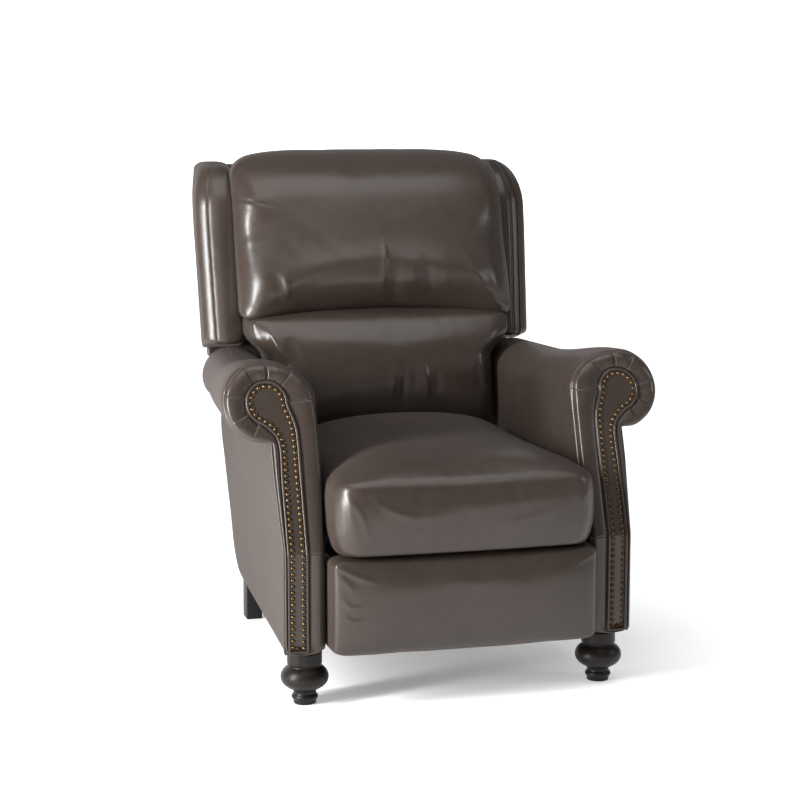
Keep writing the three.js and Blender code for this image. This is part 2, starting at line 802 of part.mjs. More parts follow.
// Footrest board, and its pad with a crowned front and a skirt round the board
function footrestForm(levels, cornerSteps, sideSteps) {
  const halfZ = (padTop - padBottom) / 2;
  const middleZ = (padTop + padBottom) / 2;
  const outline = roundedOutline(1, 1, 0.12, cornerSteps, sideSteps);
  return cushion(outline, levels, (a, b, forward) =>
    new THREE.Vector3(a * padHalf, boardBack - forward, middleZ + b * halfZ),
  );
}
const boardLevels = [
  [boardShare, 0],
  [boardShare, boardThick],
];
addPiece("footrest_board", footrestForm(boardLevels, 2, 1), rawWood);
const padBack = boardThick + seatGap;
const padLevels = [
  [0, padBack],
  [pocketShare, padBack],
  [pocketShare, seatGap],
  [0.992, seatGap],
  [1, boardThick * 0.4],
  [1, padBack + padEdgeThick * 0.45],
  [0.985, padBack + padEdgeThick * 0.85],
  [0.94, padBack + padEdgeThick * 1.02],
  [0.78, padBack + padEdgeThick + padCrown * 0.45],
  [0.5, padBack + padEdgeThick + padCrown * 0.85],
  [0, padBack + padEdgeThick + padCrown],
];
addPiece("footrest_pad", footrestForm(padLevels, 2, 5), leather);

// Seat frame: rails, springs, side plates and the shoes that glide in the base rails
const railInner = seatRailOuter - railThick;
addPiece(
  "seat_front_rail",
  block(-seatRailOuter, seatRailOuter, seatRailFront, seatRailFront + railThick, railBottom, railTop),
  rawWood,
);
addPiece(
  "seat_rear_rail",
  block(-seatRailOuter, seatRailOuter, seatRailRear - railThick, seatRailRear, railBottom, railTop),
  rawWood,
);
addPair(
  "seat_side_rail",
  block(
    railInner,
    seatRailOuter,
    seatRailFront + railThick + seatGap,
    seatRailRear - railThick - seatGap,
    railBottom,
    railTop,
  ),
  rawWood,
);

function seatSpringGeometry(x) {
  const start = seatRailFront + railThick + seatGap + springR;
  const end = seatRailRear - railThick - seatGap - springR;
  const points = [];
  const steps = springWaves * 4;
  for (let i = 0; i <= steps; i++) {
    const share = i / steps;
    points.push(
      new THREE.Vector3(
        x + (springWave / 2) * Math.sin(share * springWaves * 2 * Math.PI),
        lerp(start, end, share),
        railTop - springDrop - springR + springArch * Math.sin(share * Math.PI) * 0.5,
      ),
    );
  }
  const section = new THREE.Shape();
  const sides = 5;
  for (let i = 0; i < sides; i++) {
    const angle = (i / sides) * 2 * Math.PI;
    const [a, b] = [springR * Math.cos(angle), springR * Math.sin(angle)];
    if (i === 0) section.moveTo(a, b);
    else section.lineTo(a, b);
  }
  section.closePath();
  return new THREE.ExtrudeGeometry(section, {
    steps,
    bevelEnabled: false,
    extrudePath: new THREE.CatmullRomCurve3(points),
  });
}
for (let i = 0; i < springCount; i++)
  addPiece("seat_spring_" + (i + 1), seatSpringGeometry((i - (springCount - 1) / 2) * springPitch), steel);

function sidePlateGeometry() {
  const outer = sidePlateX + linkThick;
  const low = rearPivotZ - linkWide;
  const high = rearPivotZ + linkWide / 2 + linkGap + linkThick;
  const front = frontPivot.x - linkWide;
  const rear = backPivotY + linkWide * 0.65;
  const shape = new THREE.Shape();
  shape.moveTo(front, low);
  for (const y of [shoeFrontY, shoeRearY]) {
    const bottom = shoeMiddleAt(y) - linkWide / 2;
    shape.lineTo(y - shoeLong / 2, low);
    shape.lineTo(y - shoeLong / 4, bottom);
    shape.lineTo(y + shoeLong / 4, bottom);
    shape.lineTo(y + shoeLong / 2, low);
  }
  shape.lineTo(rear - linkWide * 2, low);
  shape.lineTo(rear, backPivotZ - linkWide * 0.8);
  shape.lineTo(rear, backPivotZ + linkWide * 0.4);
  shape.lineTo(rear - linkWide * 0.4, backPivotZ + linkWide * 0.8);
  shape.lineTo(backPivotY - linkWide * 0.6, backPivotZ + linkWide * 0.8);
  shape.lineTo(backPivotY - linkWide * 4, high);
  shape.lineTo(front, high);
  shape.closePath();
  const middle = outer - linkThick / 2;
  const flangeRear = seatRailRear;
  const flange = block(seatRailOuter + seatGap, outer, front, flangeRear, high - linkThick, high);
  const pivots = [frontPivot, rearPivot, point(backPivotY, backPivotZ)];
  const shoePinEnd = baseRailOuter - baseRailSheet * 2;
  return join(
    sidePlate(shape, sidePlateX, outer),
    flange,
    ...pivots.map((p) => crossPin(layerIn(1), middle, p.x, p.y, pinR)),
    ...[shoeFrontY, shoeRearY].map((y) => crossPin(middle, shoePinEnd, y, shoeMiddleAt(y), pinR)),
  );
}
function shoeMiddleAt(y) {
  return baseRailTopAt(y) - baseRailHigh / 2;
}
addPair("seat_side_plate", sidePlateGeometry(), steel);

function shoeGeometry(y) {
  const x0 = sidePlateX + linkThick + seatGap + 1;
  const x1 = baseRailOuter - baseRailSheet - shoeClear;
  const inset = baseRailSheet + shoeClear;
  const body = slopedPlate(x0, x1, y - shoeLong / 2, y + shoeLong / 2, inset, baseRailHigh - inset);
  return cut(body, crossPin(x0 - overrun, x1 + overrun, y, shoeMiddleAt(y), pinR + seatGap));
}
addPair("front_glide_shoe", shoeGeometry(shoeFrontY), nylon);
addPair("rear_glide_shoe", shoeGeometry(shoeRearY), nylon);

// Back: the rear face leans, and depths are measured forward from it
const leanRun = Math.tan(backLeanAngle * degrees);
const backRearAt = (z) => backRearFoot + (z - backFootZ) * leanRun;
const inBack = (x, depth, z) => new THREE.Vector3(x, backRearAt(z) - depth, z);

function backPanelGeometry() {
  const rows = [
    [backFootZ, backHalfLow],
    [lerp(backFootZ, backShoulderZ, 0.5), backHalfLow],
    [backShoulderZ - 1, backHalfLow],
    [backShoulderZ + 1, backHalfHigh],
    [lerp(backShoulderZ, backTop - backTopRound, 0.5), backHalfHigh],
    [backTop - backTopRound, backHalfHigh],
  ];
  for (const angle of [22.5, 45, 67.5, 90])
    rows.push([
      backTop - backTopRound + backTopRound * Math.sin(angle * degrees),
      backHalfHigh - backTopRound * (1 - Math.cos(angle * degrees)),
    ]);
  const ring = (depth, inset) => [
    ...rows.map(([z, half]) => inBack(-half + inset, depth, z)),
    ...rows.map(([z, half]) => inBack(half - inset, depth, z)).reverse(),
  ];
  return skin([ring(backThick, 0), ring(backThick * 0.35, 0), ring(0, backThick * 0.3)]);
}

// A bar that leans with the back
function backBar(x0, x1, z0, z1, depth0, depth1) {
  const corners = [
    [x0, depth0],
    [x1, depth0],
    [x1, depth1],
    [x0, depth1],
  ];
  const ring = (z) => corners.map(([x, depth]) => inBack(x, depth, z));
  return skin([ring(z0), ring(z1)]);
}
const cheekInner = backHalfLow - cheekThick;
const cheekRear = backThick * 0.5;
const cheek = backBar(cheekInner, backHalfLow, cheekFootZ, backShoulderZ, cheekRear, cheekDepth);
addPiece("back_panel", join(backPanelGeometry(), cheek, mirrored(cheek)), leather);

// The back's wooden frame
const frameFront = backThick + seatGap;
const frameBack = frameFront + postDeep;
const postInner = postOuter - postWide;
addPair("back_post", backBar(postInner, postOuter, postBottom, postTop, frameFront, frameBack), rawWood);
const railHalf = postInner - seatGap;
const railFrontDepth = frameFront + railThick;
const backRail = (z0) => backBar(-railHalf, railHalf, z0, z0 + backRailHigh, frameFront, railFrontDepth);
addPiece("back_lower_rail", backRail(backRailLowZ), rawWood);
addPiece("back_middle_rail", backRail(backRailMidZ), rawWood);
addPiece("back_top_rail", backRail(postTop - backRailHigh), rawWood);
for (let i = 0; i < webCount; i++) {
  const clear = backRailMidZ + backRailHigh;
  const z0 = lerp(clear, postTop - backRailHigh, (i + 0.5) / webCount) - webHigh / 2;
  const depth = frameBack + seatGap;
  const web = backBar(-postOuter, postOuter, z0, z0 + webHigh, depth, depth + webThick);
  addPiece("back_web_" + (i + 1), web, webbing);
}

// Steel bracket on each post, which turns on the side plate's pin
function backBracketGeometry() {
  const [x0, x1] = [layerIn(1) + seatGap, layerOut(1)];
  const pivot = point(backPivotY, backPivotZ);
  const postFace = (z) => backRearAt(z) - (frameFront + frameBack) / 2;
  const high = backPivotZ + linkWide * 6;
  const straps = [
    sidePlate(strapShape([pivot, point(postFace(backPivotZ), backPivotZ)], linkWide * 0.6), x0, x1),
    sidePlate(
      strapShape([point(postFace(backPivotZ), backPivotZ), point(postFace(high), high)], linkWide * 0.6),
      x0,
      x1,
    ),
  ];
  return cut(join(...straps), crossPin(x0 - overrun, x1 + overrun, pivot.x, pivot.y, holeR));
}
addPair("back_bracket", backBracketGeometry(), steel);

// Wings: upright pads over the arms. The nose is foremost near the outer side, and a seam behind it
// parts it from the inner face, which meets the head cushion.
function wingGeometry() {
  const tail = backThick + seatGap;
  const noseRun = Math.tan(wingNoseLeanAngle * degrees);
  const heightShares = [0, 0.025, 0.25, 0.5, 0.75, 0.86, 0.93, 0.98, 1];
  const rings = heightShares.map((share, i) => {
    const z = lerp(wingFoot, wingTop, share);
    const topShare = clamp((z - (wingTop - wingTopRise)) / wingTopRise);
    const round = 1 - Math.sqrt(1 - Math.min(0.985, topShare) ** 2);
    const inset = i === 0 ? wingFootRound : 0;
    const nose = wingNoseFoot + (z - wingFoot) * noseRun + wingTopRun * round + inset;
    const back = backRearAt(z) - tail;
    const wide = wingOuter - wingInner;
    const outer = lerp(wingOuterFoot, wingOuter, clamp(share * 1.6)) - wide * 0.4 * round - inset;
    const inner = wingInner + inset + wide * 0.2 * round;
    const tailX = Math.min(outer, wingTail);
    const spare = back - nose;
    const seamBack = Math.min(lerp(wingSeamBack, wingSeamBackTop, share), spare * 0.5);
    const seamX = Math.min(lerp(wingSeamX, wingSeamXTop, share), lerp(inner, outer, 0.7));
    const turn = Math.min(wingNoseRound, (outer - seamX) * 0.4);
    const ring = [
      [inner, back],
      [inner, nose + seamBack + turn],
      [inner + turn * 0.8, nose + seamBack + turn * 0.2],
      [lerp(inner, seamX, 0.6), nose + seamBack - turn * 0.2],
      [seamX, nose + seamBack - turn * 0.4],
      [lerp(seamX, outer, 0.35), nose + seamBack * 0.42],
      [outer - turn, nose],
      [outer - turn * 0.2, nose + turn * 0.5],
      [outer, nose + turn * 1.6],
      [lerp(outer, tailX, 0.35), lerp(nose + turn, back, 0.6)],
      [tailX, back],
    ];
    return ring.map(([x, y]) => {
      const low = z - wingHeelDrop * ease((y - wingHeelStart) / wingHeelRun) * (1 - share) ** 3;
      return new THREE.Vector3(x, Math.min(y, backRearAt(low) - tail), low);
    });
  });
  return skin(rings);
}
addPair("wing", wingGeometry(), leather);

// A back cushion: a flat rear, boxed sides drawn in between the corners, and a crowned front
function backCushionGeometry(form) {
  const outline = roundedOutline(1, 1, form.corner, 3, 6);
  const levels = [
    [0, 0],
    [0.6, 0],
    [0.95, 0],
    [1, 0.25],
    [1, 0.75],
    [0.985, 1],
    [0.93, 1],
    [0.8, 1],
    [0.55, 1],
    [0.28, 1],
    [0, 1],
  ];
  const middleZ = (form.top + form.bottom) / 2;
  const halfZ = (form.top - form.bottom) / 2;
  const rings = levels.map(([share, side]) => {
    const placed = (a, b) => {
      const up = (b + 1) / 2;
      const arch = form.arch * (1 - a * a) * (1 - up);
      const fall = form.shoulder * Math.abs(a) ** form.shoulderPower * up;
      const rearFall = form.rearFall * (1 - side) ** 2 * up ** 4;
      const z = middleZ + b * halfZ + arch - fall - rearFall;
      const tuck = form.tuck * clamp((0.8 - side) / 0.5);
      const flare = form.flare * ease((z - form.flareFrom) / form.flareRun);
      const ledge = ease((z - postTop) / headLedgeRun);
      const rear = backRearAt(z) - lerp(pillowBack, backThick + seatGap, ledge);
      const roll = form.roll * clamp((up - 0.72) / 0.28) ** 2;
      const seam = form.seam + (z - form.bottom) * form.seamRun + roll;
      const thin = (1 - form.topThin * up) * (1 - form.bottomThin * (1 - up) ** 2);
      const crown = side === 1 ? form.crown * crownShare(a, b) * thin : 0;
      const half = lerp(form.halfLow, form.halfHigh, up) - tuck + flare;
      return new THREE.Vector3(a * half, lerp(rear, seam, side) - crown, z);
    };
    return share === 0 ? [placed(0, 0)] : outline.map(([a, b]) => placed(a * share, b * share));
  });
  return skin(rings);
}
addPiece(
  "lumbar_cushion",
  backCushionGeometry({
    bottom: lumbarBottom,
    top: lumbarTop - cushionGap,
    halfLow: lumbarHalf,
    halfHigh: lumbarHalf,
    corner: 0.14,
    seam: seatRear + lumbarBehindSeat,
    seamRun: leanRun * 0.35,
    crown: lumbarCrown,
    topThin: 0.2,
    bottomThin: 0.5,
    arch: 0,
    shoulder: lumbarShoulder,
    shoulderPower: 2,
    flare: lumbarFlare,
    flareFrom: lumbarFlareFrom,
    flareRun: lumbarFlareRun,
    tuck: 0,
    roll: 0,
    rearFall: 0,
  }),
  leather,
);
// The room that the posts, rails and webs take behind the head cushion
const roomHalf = postOuter + seatGap;
const roomTop = postTop + seatGap;
const frameRoom = backBar(-roomHalf, roomHalf, backRailMidZ, roomTop, frameFront - overrun, pillowBack);
const headCushion = backCushionGeometry({
  bottom: headBottom + cushionGap,
  top: headTop,
  halfLow: headHalf,
  halfHigh: headTopHalf,
  corner: 0.13,
  seam: headSeam,
  seamRun: leanRun * 1.15,
  crown: headCrown,
  topThin: 0.45,
  bottomThin: 0,
  arch: headArch,
  shoulder: headShoulder,
  shoulderPower: 4,
  flare: 0,
  flareFrom: headTop,
  flareRun: cushionGap,
  tuck: headTuck,
  roll: headTopRoll,
  rearFall: headRearFall,
});
addPiece("head_cushion", cut(headCushion, frameRoom), leather);

// The origin is on the floor, midway between the foremost and rearmost points.
const reach = new THREE.Box3().setFromObject(chair);
chair.position.y = -(reach.min.y + reach.max.y) / 2;

export default chair;
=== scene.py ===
# %% [markdown]
# # A wingback recliner, dressed
# The chair comes in as a fixed frame of solids that already has every size and every joint.
# This lesson dresses it: leather over the arms, wings and cushions, nails, wood, steel, light and camera.
# Each step first says what the piece is on a real chair, then makes it in a short cell.

# %% The frame, and what every cell uses
import math

import bmesh
import bpy
import numpy as np
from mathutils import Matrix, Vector


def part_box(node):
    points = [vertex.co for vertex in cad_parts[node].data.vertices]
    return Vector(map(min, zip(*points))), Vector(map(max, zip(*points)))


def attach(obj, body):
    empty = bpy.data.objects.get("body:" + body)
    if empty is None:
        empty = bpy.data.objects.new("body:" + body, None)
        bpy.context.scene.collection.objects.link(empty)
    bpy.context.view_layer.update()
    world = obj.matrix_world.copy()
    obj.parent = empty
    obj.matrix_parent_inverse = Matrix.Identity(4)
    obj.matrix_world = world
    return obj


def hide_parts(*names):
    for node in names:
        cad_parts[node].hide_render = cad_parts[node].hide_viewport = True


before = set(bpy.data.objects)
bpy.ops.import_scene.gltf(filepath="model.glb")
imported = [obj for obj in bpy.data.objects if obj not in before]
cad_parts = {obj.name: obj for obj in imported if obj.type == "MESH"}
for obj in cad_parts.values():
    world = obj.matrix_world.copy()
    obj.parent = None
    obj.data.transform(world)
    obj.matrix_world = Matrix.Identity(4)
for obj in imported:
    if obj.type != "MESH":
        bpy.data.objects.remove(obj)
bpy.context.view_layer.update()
FRONT_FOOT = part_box("front_foot_right")
SHIFT = (FRONT_FOOT[0].y + FRONT_FOOT[1].y) / 2
SIDES = {"right": 1, "left": -1}
print("frame:", len(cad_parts), "solids; front feet stand at y =", round(SHIFT, 4))

# %% [markdown]
# ## Shapes in millimetres
# Upholstery is laid out in millimetres from the line between the front feet, as on the workshop floor.
# One helper turns such points into a mesh in metres, so no other cell has to think about the frame.
# A second one lofts a skin through rings of points, because arms, wings and piping are all lofts.


# %% From points to pieces
def add_object(name, data):
    made = bpy.data.objects.new(name, data)
    bpy.context.scene.collection.objects.link(made)
    return made


def piece_from(name, points, faces, finish=None, smooth=True, edges=()):
    """A mesh object whose place is in its mesh; points are in millimetres from the front feet."""
    placed = np.asarray(points, float) / 1000 + np.array([0, SHIFT, 0])
    mesh = bpy.data.meshes.new(name)
    mesh.from_pydata(placed.tolist(), list(edges), [list(map(int, face)) for face in faces])
    mesh.polygons.foreach_set("use_smooth", [smooth] * len(mesh.polygons))
    mesh.update()
    if finish:
        mesh.materials.append(finish)
    return add_object(name, mesh)


def point_outwards(made, weld=0.0):
    """Merges doubles if asked, and turns the faces outwards."""
    work = bmesh.new()
    work.from_mesh(made.data)
    if weld:
        bmesh.ops.remove_doubles(work, verts=work.verts, dist=weld)
    bmesh.ops.recalc_face_normals(work, faces=work.faces)
    work.to_mesh(made.data)
    work.free()
    return made


def grid_faces(rows, columns, start=0, round_rows=False, round_columns=False):
    """Quads over a grid of points, row after row."""
    faces = []
    for r in range(rows if round_rows else rows - 1):
        for c in range(columns if round_columns else columns - 1):
            r2, c2 = (r + 1) % rows, (c + 1) % columns
            faces.append([start + r * columns + c, start + r * columns + c2,
                          start + r2 * columns + c2, start + r2 * columns + c])
    return faces


def cap_faces(ring):
    """Closes a ring by rungs from its first half to its second."""
    faces, i, j = [], 0, len(ring) - 1
    while j - i > 2:
        faces.append([ring[i], ring[i + 1], ring[j - 1], ring[j]])
        i, j = i + 1, j - 1
    if j - i == 2:
        faces.append([ring[i], ring[i + 1], ring[j]])
    return faces


def slab_faces(rows, columns):
    """Quads over two sheets of points, one after the other, and over the wall that joins their rims."""
    count = rows * columns
    faces = grid_faces(rows, columns) + [face[::-1] for face in grid_faces(rows, columns, start=count)]
    rim = [r * columns for r in range(rows)] + [(rows - 1) * columns + c for c in range(1, columns)]
    rim += [r * columns + columns - 1 for r in range(rows - 2, -1, -1)] + list(range(columns - 2, 0, -1))
    return faces + [[a, b, b + count, a + count] for a, b in zip(rim, rim[1:] + rim[:1])]


def loft(name, rings, finish):
    """A closed skin through rings of equal length, shape (rings, points, 3)."""
    rings = np.asarray(rings, float)
    count, columns = rings.shape[:2]
    last = (count - 1) * columns
    faces = grid_faces(count, columns, round_columns=True)
    faces += cap_faces(range(columns)) + cap_faces(range(last, last + columns))
    return point_outwards(piece_from(name, rings.reshape(-1, 3), faces, finish))


def ease(t):
    return 0.5 - 0.5 * np.cos(np.pi * np.clip(t, 0, 1))


def mix(a, b, t):
    return a + (b - a) * t


def spline(points, at):
    """A smooth curve through points, read at places counted in points (0 is the first)."""
    points, at = np.asarray(points, float), np.asarray(at, float)
    last = len(points) - 1
    first = np.clip(np.floor(at).astype(int), 0, last - 1)
    t = (at - first)[:, None]
    padded = np.vstack([2 * points[0] - points[1], points, 2 * points[-1] - points[-2]])
    a, b, c, d = (padded[first + k] for k in range(4))
    return b + 0.5 * t * (c - a + t * (2 * a - 5 * b + 4 * c - d + t * (3 * (b - c) + d - a)))


def gone_along(points):
    """The length of a path up to each of its points."""
    return np.concatenate([[0], np.cumsum(np.linalg.norm(np.diff(points, axis=0), axis=1))])


def read_path(points, gone, at):
    """Points of a path at the given lengths along it."""
    return np.stack([np.interp(at, gone, points[:, k]) for k in range(points.shape[1])], 1)


def evenly(points, pitch, closed=False):
    """The same path, with points an even distance apart, close to the pitch."""
    points = np.asarray(points, float)
    if closed:
        points = np.vstack([points, points[:1]])
    gone = gone_along(points)
    count = max(2, round(gone[-1] / pitch))
    even = read_path(points, gone, np.linspace(0, gone[-1], count + 1))
    return even[:-1] if closed else even


def resample(points, count, power):
    """The same path with a given number of points; a power over 1 crowds them towards its start."""
    gone = gone_along(points)
    return read_path(points, gone, gone[-1] * np.linspace(0, 1, count) ** power)


def rounded_path(points, times=3):
    """Cuts the corners of a path again and again, which rounds it; the ends stay."""
    points = np.asarray(points, float)
    for _ in range(times):
        near, far = mix(points[:-1], points[1:], 0.25), mix(points[:-1], points[1:], 0.75)
        between = np.stack([near, far], 1).reshape(-1, points.shape[1])[1:-1]
        points = np.vstack([points[:1], between, points[-1:]])
    return points


NO_PATH_STARTS_THIS_WAY = [0.3, 0.5, 0.81]


def tube(name, path, radius, finish, sides=10, closed=False):
    """Piping: a cord in leather along a path of points."""
    path = np.asarray(path, float)
    ahead = np.roll(path, -1, 0) - np.roll(path, 1, 0)
    if not closed:
        ahead[0], ahead[-1] = path[1] - path[0], path[-1] - path[-2]
    ahead /= np.linalg.norm(ahead, axis=1)[:, None]
    side = np.cross(ahead[0], NO_PATH_STARTS_THIS_WAY)
    rings = []
    for point, along in zip(path, ahead):
        side = side - along * side.dot(along)
        side /= np.linalg.norm(side)
        up = np.cross(along, side)
        angle = np.linspace(0, 2 * np.pi, sides, endpoint=False)[:, None]
        rings.append(point + radius * (np.cos(angle) * side + np.sin(angle) * up))
    rings = np.array(rings)
    if closed:
        faces = grid_faces(len(rings), sides, round_rows=True, round_columns=True)
        return point_outwards(piece_from(name, rings.reshape(-1, 3), faces, finish))
    return loft(name, rings, finish)


def normals_of(made):
    """The normal at each point of a mesh."""
    found = np.empty(len(made.data.vertices) * 3, np.float32)
    made.data.vertex_normals.foreach_get("vector", found)
    return found.reshape(-1, 3).astype(float)


def points_of(made):
    """The points of a mesh, in millimetres from the front feet."""
    found = np.empty(len(made.data.vertices) * 3, np.float32)
    made.data.vertices.foreach_get("co", found)
    return (found.reshape(-1, 3).astype(float) - [0, SHIFT, 0]) * 1000


def put_points(made, points):
    placed = (np.asarray(points, float) / 1000 + [0, SHIFT, 0]).astype(np.float32)
    made.data.vertices.foreach_set("co", placed.ravel())
    made.data.update()


def apply_modifiers(made):
    """Turns what the modifiers make into the object's own mesh."""
    graph = bpy.context.evaluated_depsgraph_get()
    baked = bpy.data.meshes.new_from_object(made.evaluated_get(graph))
    old, made.data = made.data, baked
    made.modifiers.clear()
    baked.name = made.name
    bpy.data.meshes.remove(old)
    return made


def refine(made):
    """One level of subdivision, baked into the mesh."""
    smoother = made.modifiers.new("refine", "SUBSURF")
    smoother.levels = smoother.render_levels = 1
    return apply_modifiers(made)


EDGE_CUTS, FLAT_WITHIN, SHARP_FROM = 3, math.radians(1), math.radians(32)


def softened(name, node, finish, width):
    """A solid with its sharp edges eased, as a plane or sandpaper eases them; width in millimetres."""
    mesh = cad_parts[node].data.copy()
    mesh.name = name
    mesh.materials.clear()
    mesh.materials.append(finish)
    work = bmesh.new()
    work.from_mesh(mesh)
    bmesh.ops.remove_doubles(work, verts=work.verts, dist=1e-5)
    bmesh.ops.dissolve_limit(work, angle_limit=FLAT_WITHIN, verts=work.verts, edges=work.edges)
    work.to_mesh(mesh)
    work.free()
    mesh.polygons.foreach_set("use_smooth", [True] * len(mesh.polygons))
    made = add_object(name, mesh)
    edge = made.modifiers.new("eased edge", "BEVEL")
    edge.width, edge.segments, edge.limit_method = width / 1000, EDGE_CUTS, "ANGLE"
    edge.angle_limit = SHARP_FROM
    edge.harden_normals = True
    return apply_modifiers(made)


def dress(made, body, slot, *nodes, fill=None):
    """Hangs a finished piece on the body it rides on and hides the solids it stands for; its finish slot is
    not used.
    """
    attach(made, body)
    if nodes:
        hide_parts(*nodes)
    return made


print("helpers ready")

# %% [markdown]
# ## Shader maths as plain sums
# A finish is a small sum of patterns. Written as sums in Python, it reads like the recipe it is.
# A class wraps one output of a node, and adding or multiplying two of them puts in the Math node.
# Colours go through Mix nodes instead, because a Math node would turn them grey.


# %% Sockets that can be added and multiplied
class Value:
    """One output in a finish's tree; sums with numbers or other outputs add the Math nodes."""

    def __init__(self, finish, output):
        self.finish, self.output = finish, output

    def maths(self, operation, other):
        terms = {"Value": self, "Value_001": other}
        return self.finish.node("ShaderNodeMath", {"operation": operation}, terms)["Value"]

    def __add__(self, other):
        return self.maths("ADD", other)

    def __mul__(self, other):
        return self.maths("MULTIPLY", other)

    __radd__, __rmul__ = __add__, __mul__


class Finish:
    """A material that is built by asking for nodes; values on the shader are typed on its sockets."""

    def __init__(self, name, **shader):
        self.material = bpy.data.materials.new(name)
        self.material.use_nodes = True
        self.tree = self.material.node_tree
        self.shader = self.tree.nodes["Principled BSDF"]
        for key, value in shader.items():
            self.feed(key.replace("_", " "), value)

    def feed(self, key, value):
        socket = self.shader.inputs[key]
        if isinstance(value, Value):
            self.tree.links.new(value.output, socket)
        else:
            socket.default_value = value

    def node(self, kind, settings=None, inputs=None, stops=None):
        made = self.tree.nodes.new(kind)
        for key, value in (settings or {}).items():
            setattr(made, key, value)
        for i, (place, colour) in enumerate(stops or []):
            stop = made.color_ramp.elements[i] if i < 2 else made.color_ramp.elements.new(place)
            stop.position, stop.color = place, colour
        sockets = {s.identifier: s for s in made.inputs}
        for key, value in (inputs or {}).items():
            if isinstance(value, Value):
                self.tree.links.new(value.output, sockets[key])
            else:
                sockets[key].default_value = value
        return {s.identifier: Value(self, s) for s in made.outputs}

    def place(self, stretch=(1, 1, 1), turn=(0, 0, 0)):
        """Points of the object in metres, stretched or turned where a pattern asks for it."""
        where = self.node("ShaderNodeTexCoord")["Object"]
        if stretch == (1, 1, 1) and turn == (0, 0, 0):
            return where
        laid = {"Vector": where, "Scale": stretch, "Rotation": turn}
        return self.node("ShaderNodeMapping", {}, laid)["Vector"]

    def noise(self, where, scale, detail=3.0, roughness=0.5, distortion=0.0):
        return self.node("ShaderNodeTexNoise", {"noise_dimensions": "3D"},
                         {"Vector": where, "Scale": scale, "Detail": detail, "Roughness": roughness,
                          "Distortion": distortion})["Fac"]

    def cells(self, where, scale):
        inputs = {"Vector": where, "Scale": scale}
        return self.node("ShaderNodeTexVoronoi", {"feature": "F1"}, inputs)["Distance"]

    def between(self, low, high, share):
        """A colour between two, at a share from 0 to 1."""
        return self.node("ShaderNodeMix", {"data_type": "RGBA", "clamp_factor": True},
                         {"Factor_Float": share, "A_Color": low, "B_Color": high})["Result_Color"]

    def spread(self, value, low, high):
        """Stretches the part from low to high over 0 to 1."""
        return self.node("ShaderNodeMapRange", {"clamp": True},
                         {"Value": value, "From Min": low, "From Max": high})["Result"]

    def bump(self, height, distance, strength=1.0, under=None):
        inputs = {"Height": height, "Distance": distance, "Strength": strength}
        if under:
            inputs["Normal"] = under
        return self.node("ShaderNodeBump", {}, inputs)["Normal"]


print("shader helpers ready")

# %% [markdown]
# ## Leather
# The cover is a smooth, glossy, pigmented hide in a warm grey brown. Close up it has fine pores, faint
# stretch marks and a slightly uneven gloss. One pebble pattern alone would look like plastic, so three
# scales are mixed: broad tone, a middle mottle that changes the gloss, and pores that only the light sees.


# %% Leather finishes
HIDE_DARK, HIDE_LIGHT, HIDE_GLOSS = (0.032, 0.0228, 0.0178), (0.046, 0.034, 0.0272), 0.31


def leather(name, tone=1.0):
    """The hide of all covers; tone darkens it."""
    hide = Finish(name, Specular_IOR_Level=0.4, Coat_Weight=0.05, Coat_Roughness=0.2)
    where = hide.place()
    broad = hide.noise(where, 4.5, 2.0)
    mottle = hide.noise(where, 34.0, 5.0, 0.6)
    stretch = hide.noise(hide.place((1, 1, 0.22), (0.25, 0.1, 0.4)), 90.0, 3.0, 0.65, 0.6)
    pores = hide.cells(where, 780.0)
    fine = hide.noise(where, 1300.0, 2.0)
    share = hide.spread(broad * 0.55 + mottle * 0.35 + stretch * 0.1, 0.32, 0.68)
    low, high = ((*(part * tone for part in colour), 1) for colour in (HIDE_DARK, HIDE_LIGHT))
    hide.feed("Base Color", hide.between(low, high, share))
    # A plain finish mirrors the floor more than the photograph's leather does, so a grazing look is rougher
    graze = hide.spread(hide.node("ShaderNodeLayerWeight", {}, {"Blend": 0.5})["Facing"], 0.5, 0.88)
    # The patterns average about a half, so half their weights is taken off the gloss, as in timber and metal
    hide.feed("Roughness", mottle * 0.10 + stretch * 0.06 + broad * 0.05 + graze * 0.5 + (HIDE_GLOSS - 0.105))
    soft = hide.bump(hide.noise(where, 16.0, 3.0, 0.55), 0.0016, 0.5)
    marks = hide.bump(stretch, 0.00035, 0.45, soft)
    hide.feed("Normal", hide.bump(pores * 0.6 + fine * 0.4, 0.00004, 0.2, marks))
    return hide.material


COVER = leather("taupe_leather")
PIPING = leather("piping_leather", tone=0.92)
print("leather:", COVER.name, PIPING.name)

# %% [markdown]
# ## Wood, steel and the rest
# The feet are turned hardwood under a near-black espresso lacquer, which still shows a little grain.
# The hidden frame is timber, darkened as painted shade where a gap shows it, and the mechanism is painted
# steel with bright bolts. The nails are antique bronze. Each one is a grain or scratch pattern on Object
# coordinates.


# %% Other finishes
def timber(name, low, high, gloss, grain, coat=0.0):
    wood = Finish(name, Specular_IOR_Level=0.22, Coat_Weight=coat, Coat_Roughness=0.25)
    along = wood.place((1, 1, 0.12))
    rings = wood.noise(along, grain, 5.0, 0.6, 1.4)
    fibre = wood.noise(wood.place((1, 1, 0.05)), grain * 9, 3.0, 0.6)
    share = wood.spread(rings * 0.65 + fibre * 0.35, 0.34, 0.66)
    wood.feed("Base Color", wood.between(low, high, share))
    wood.feed("Roughness", fibre * 0.16 + (gloss - 0.08))
    wood.feed("Normal", wood.bump(fibre, 0.0004, 0.4))
    return wood.material


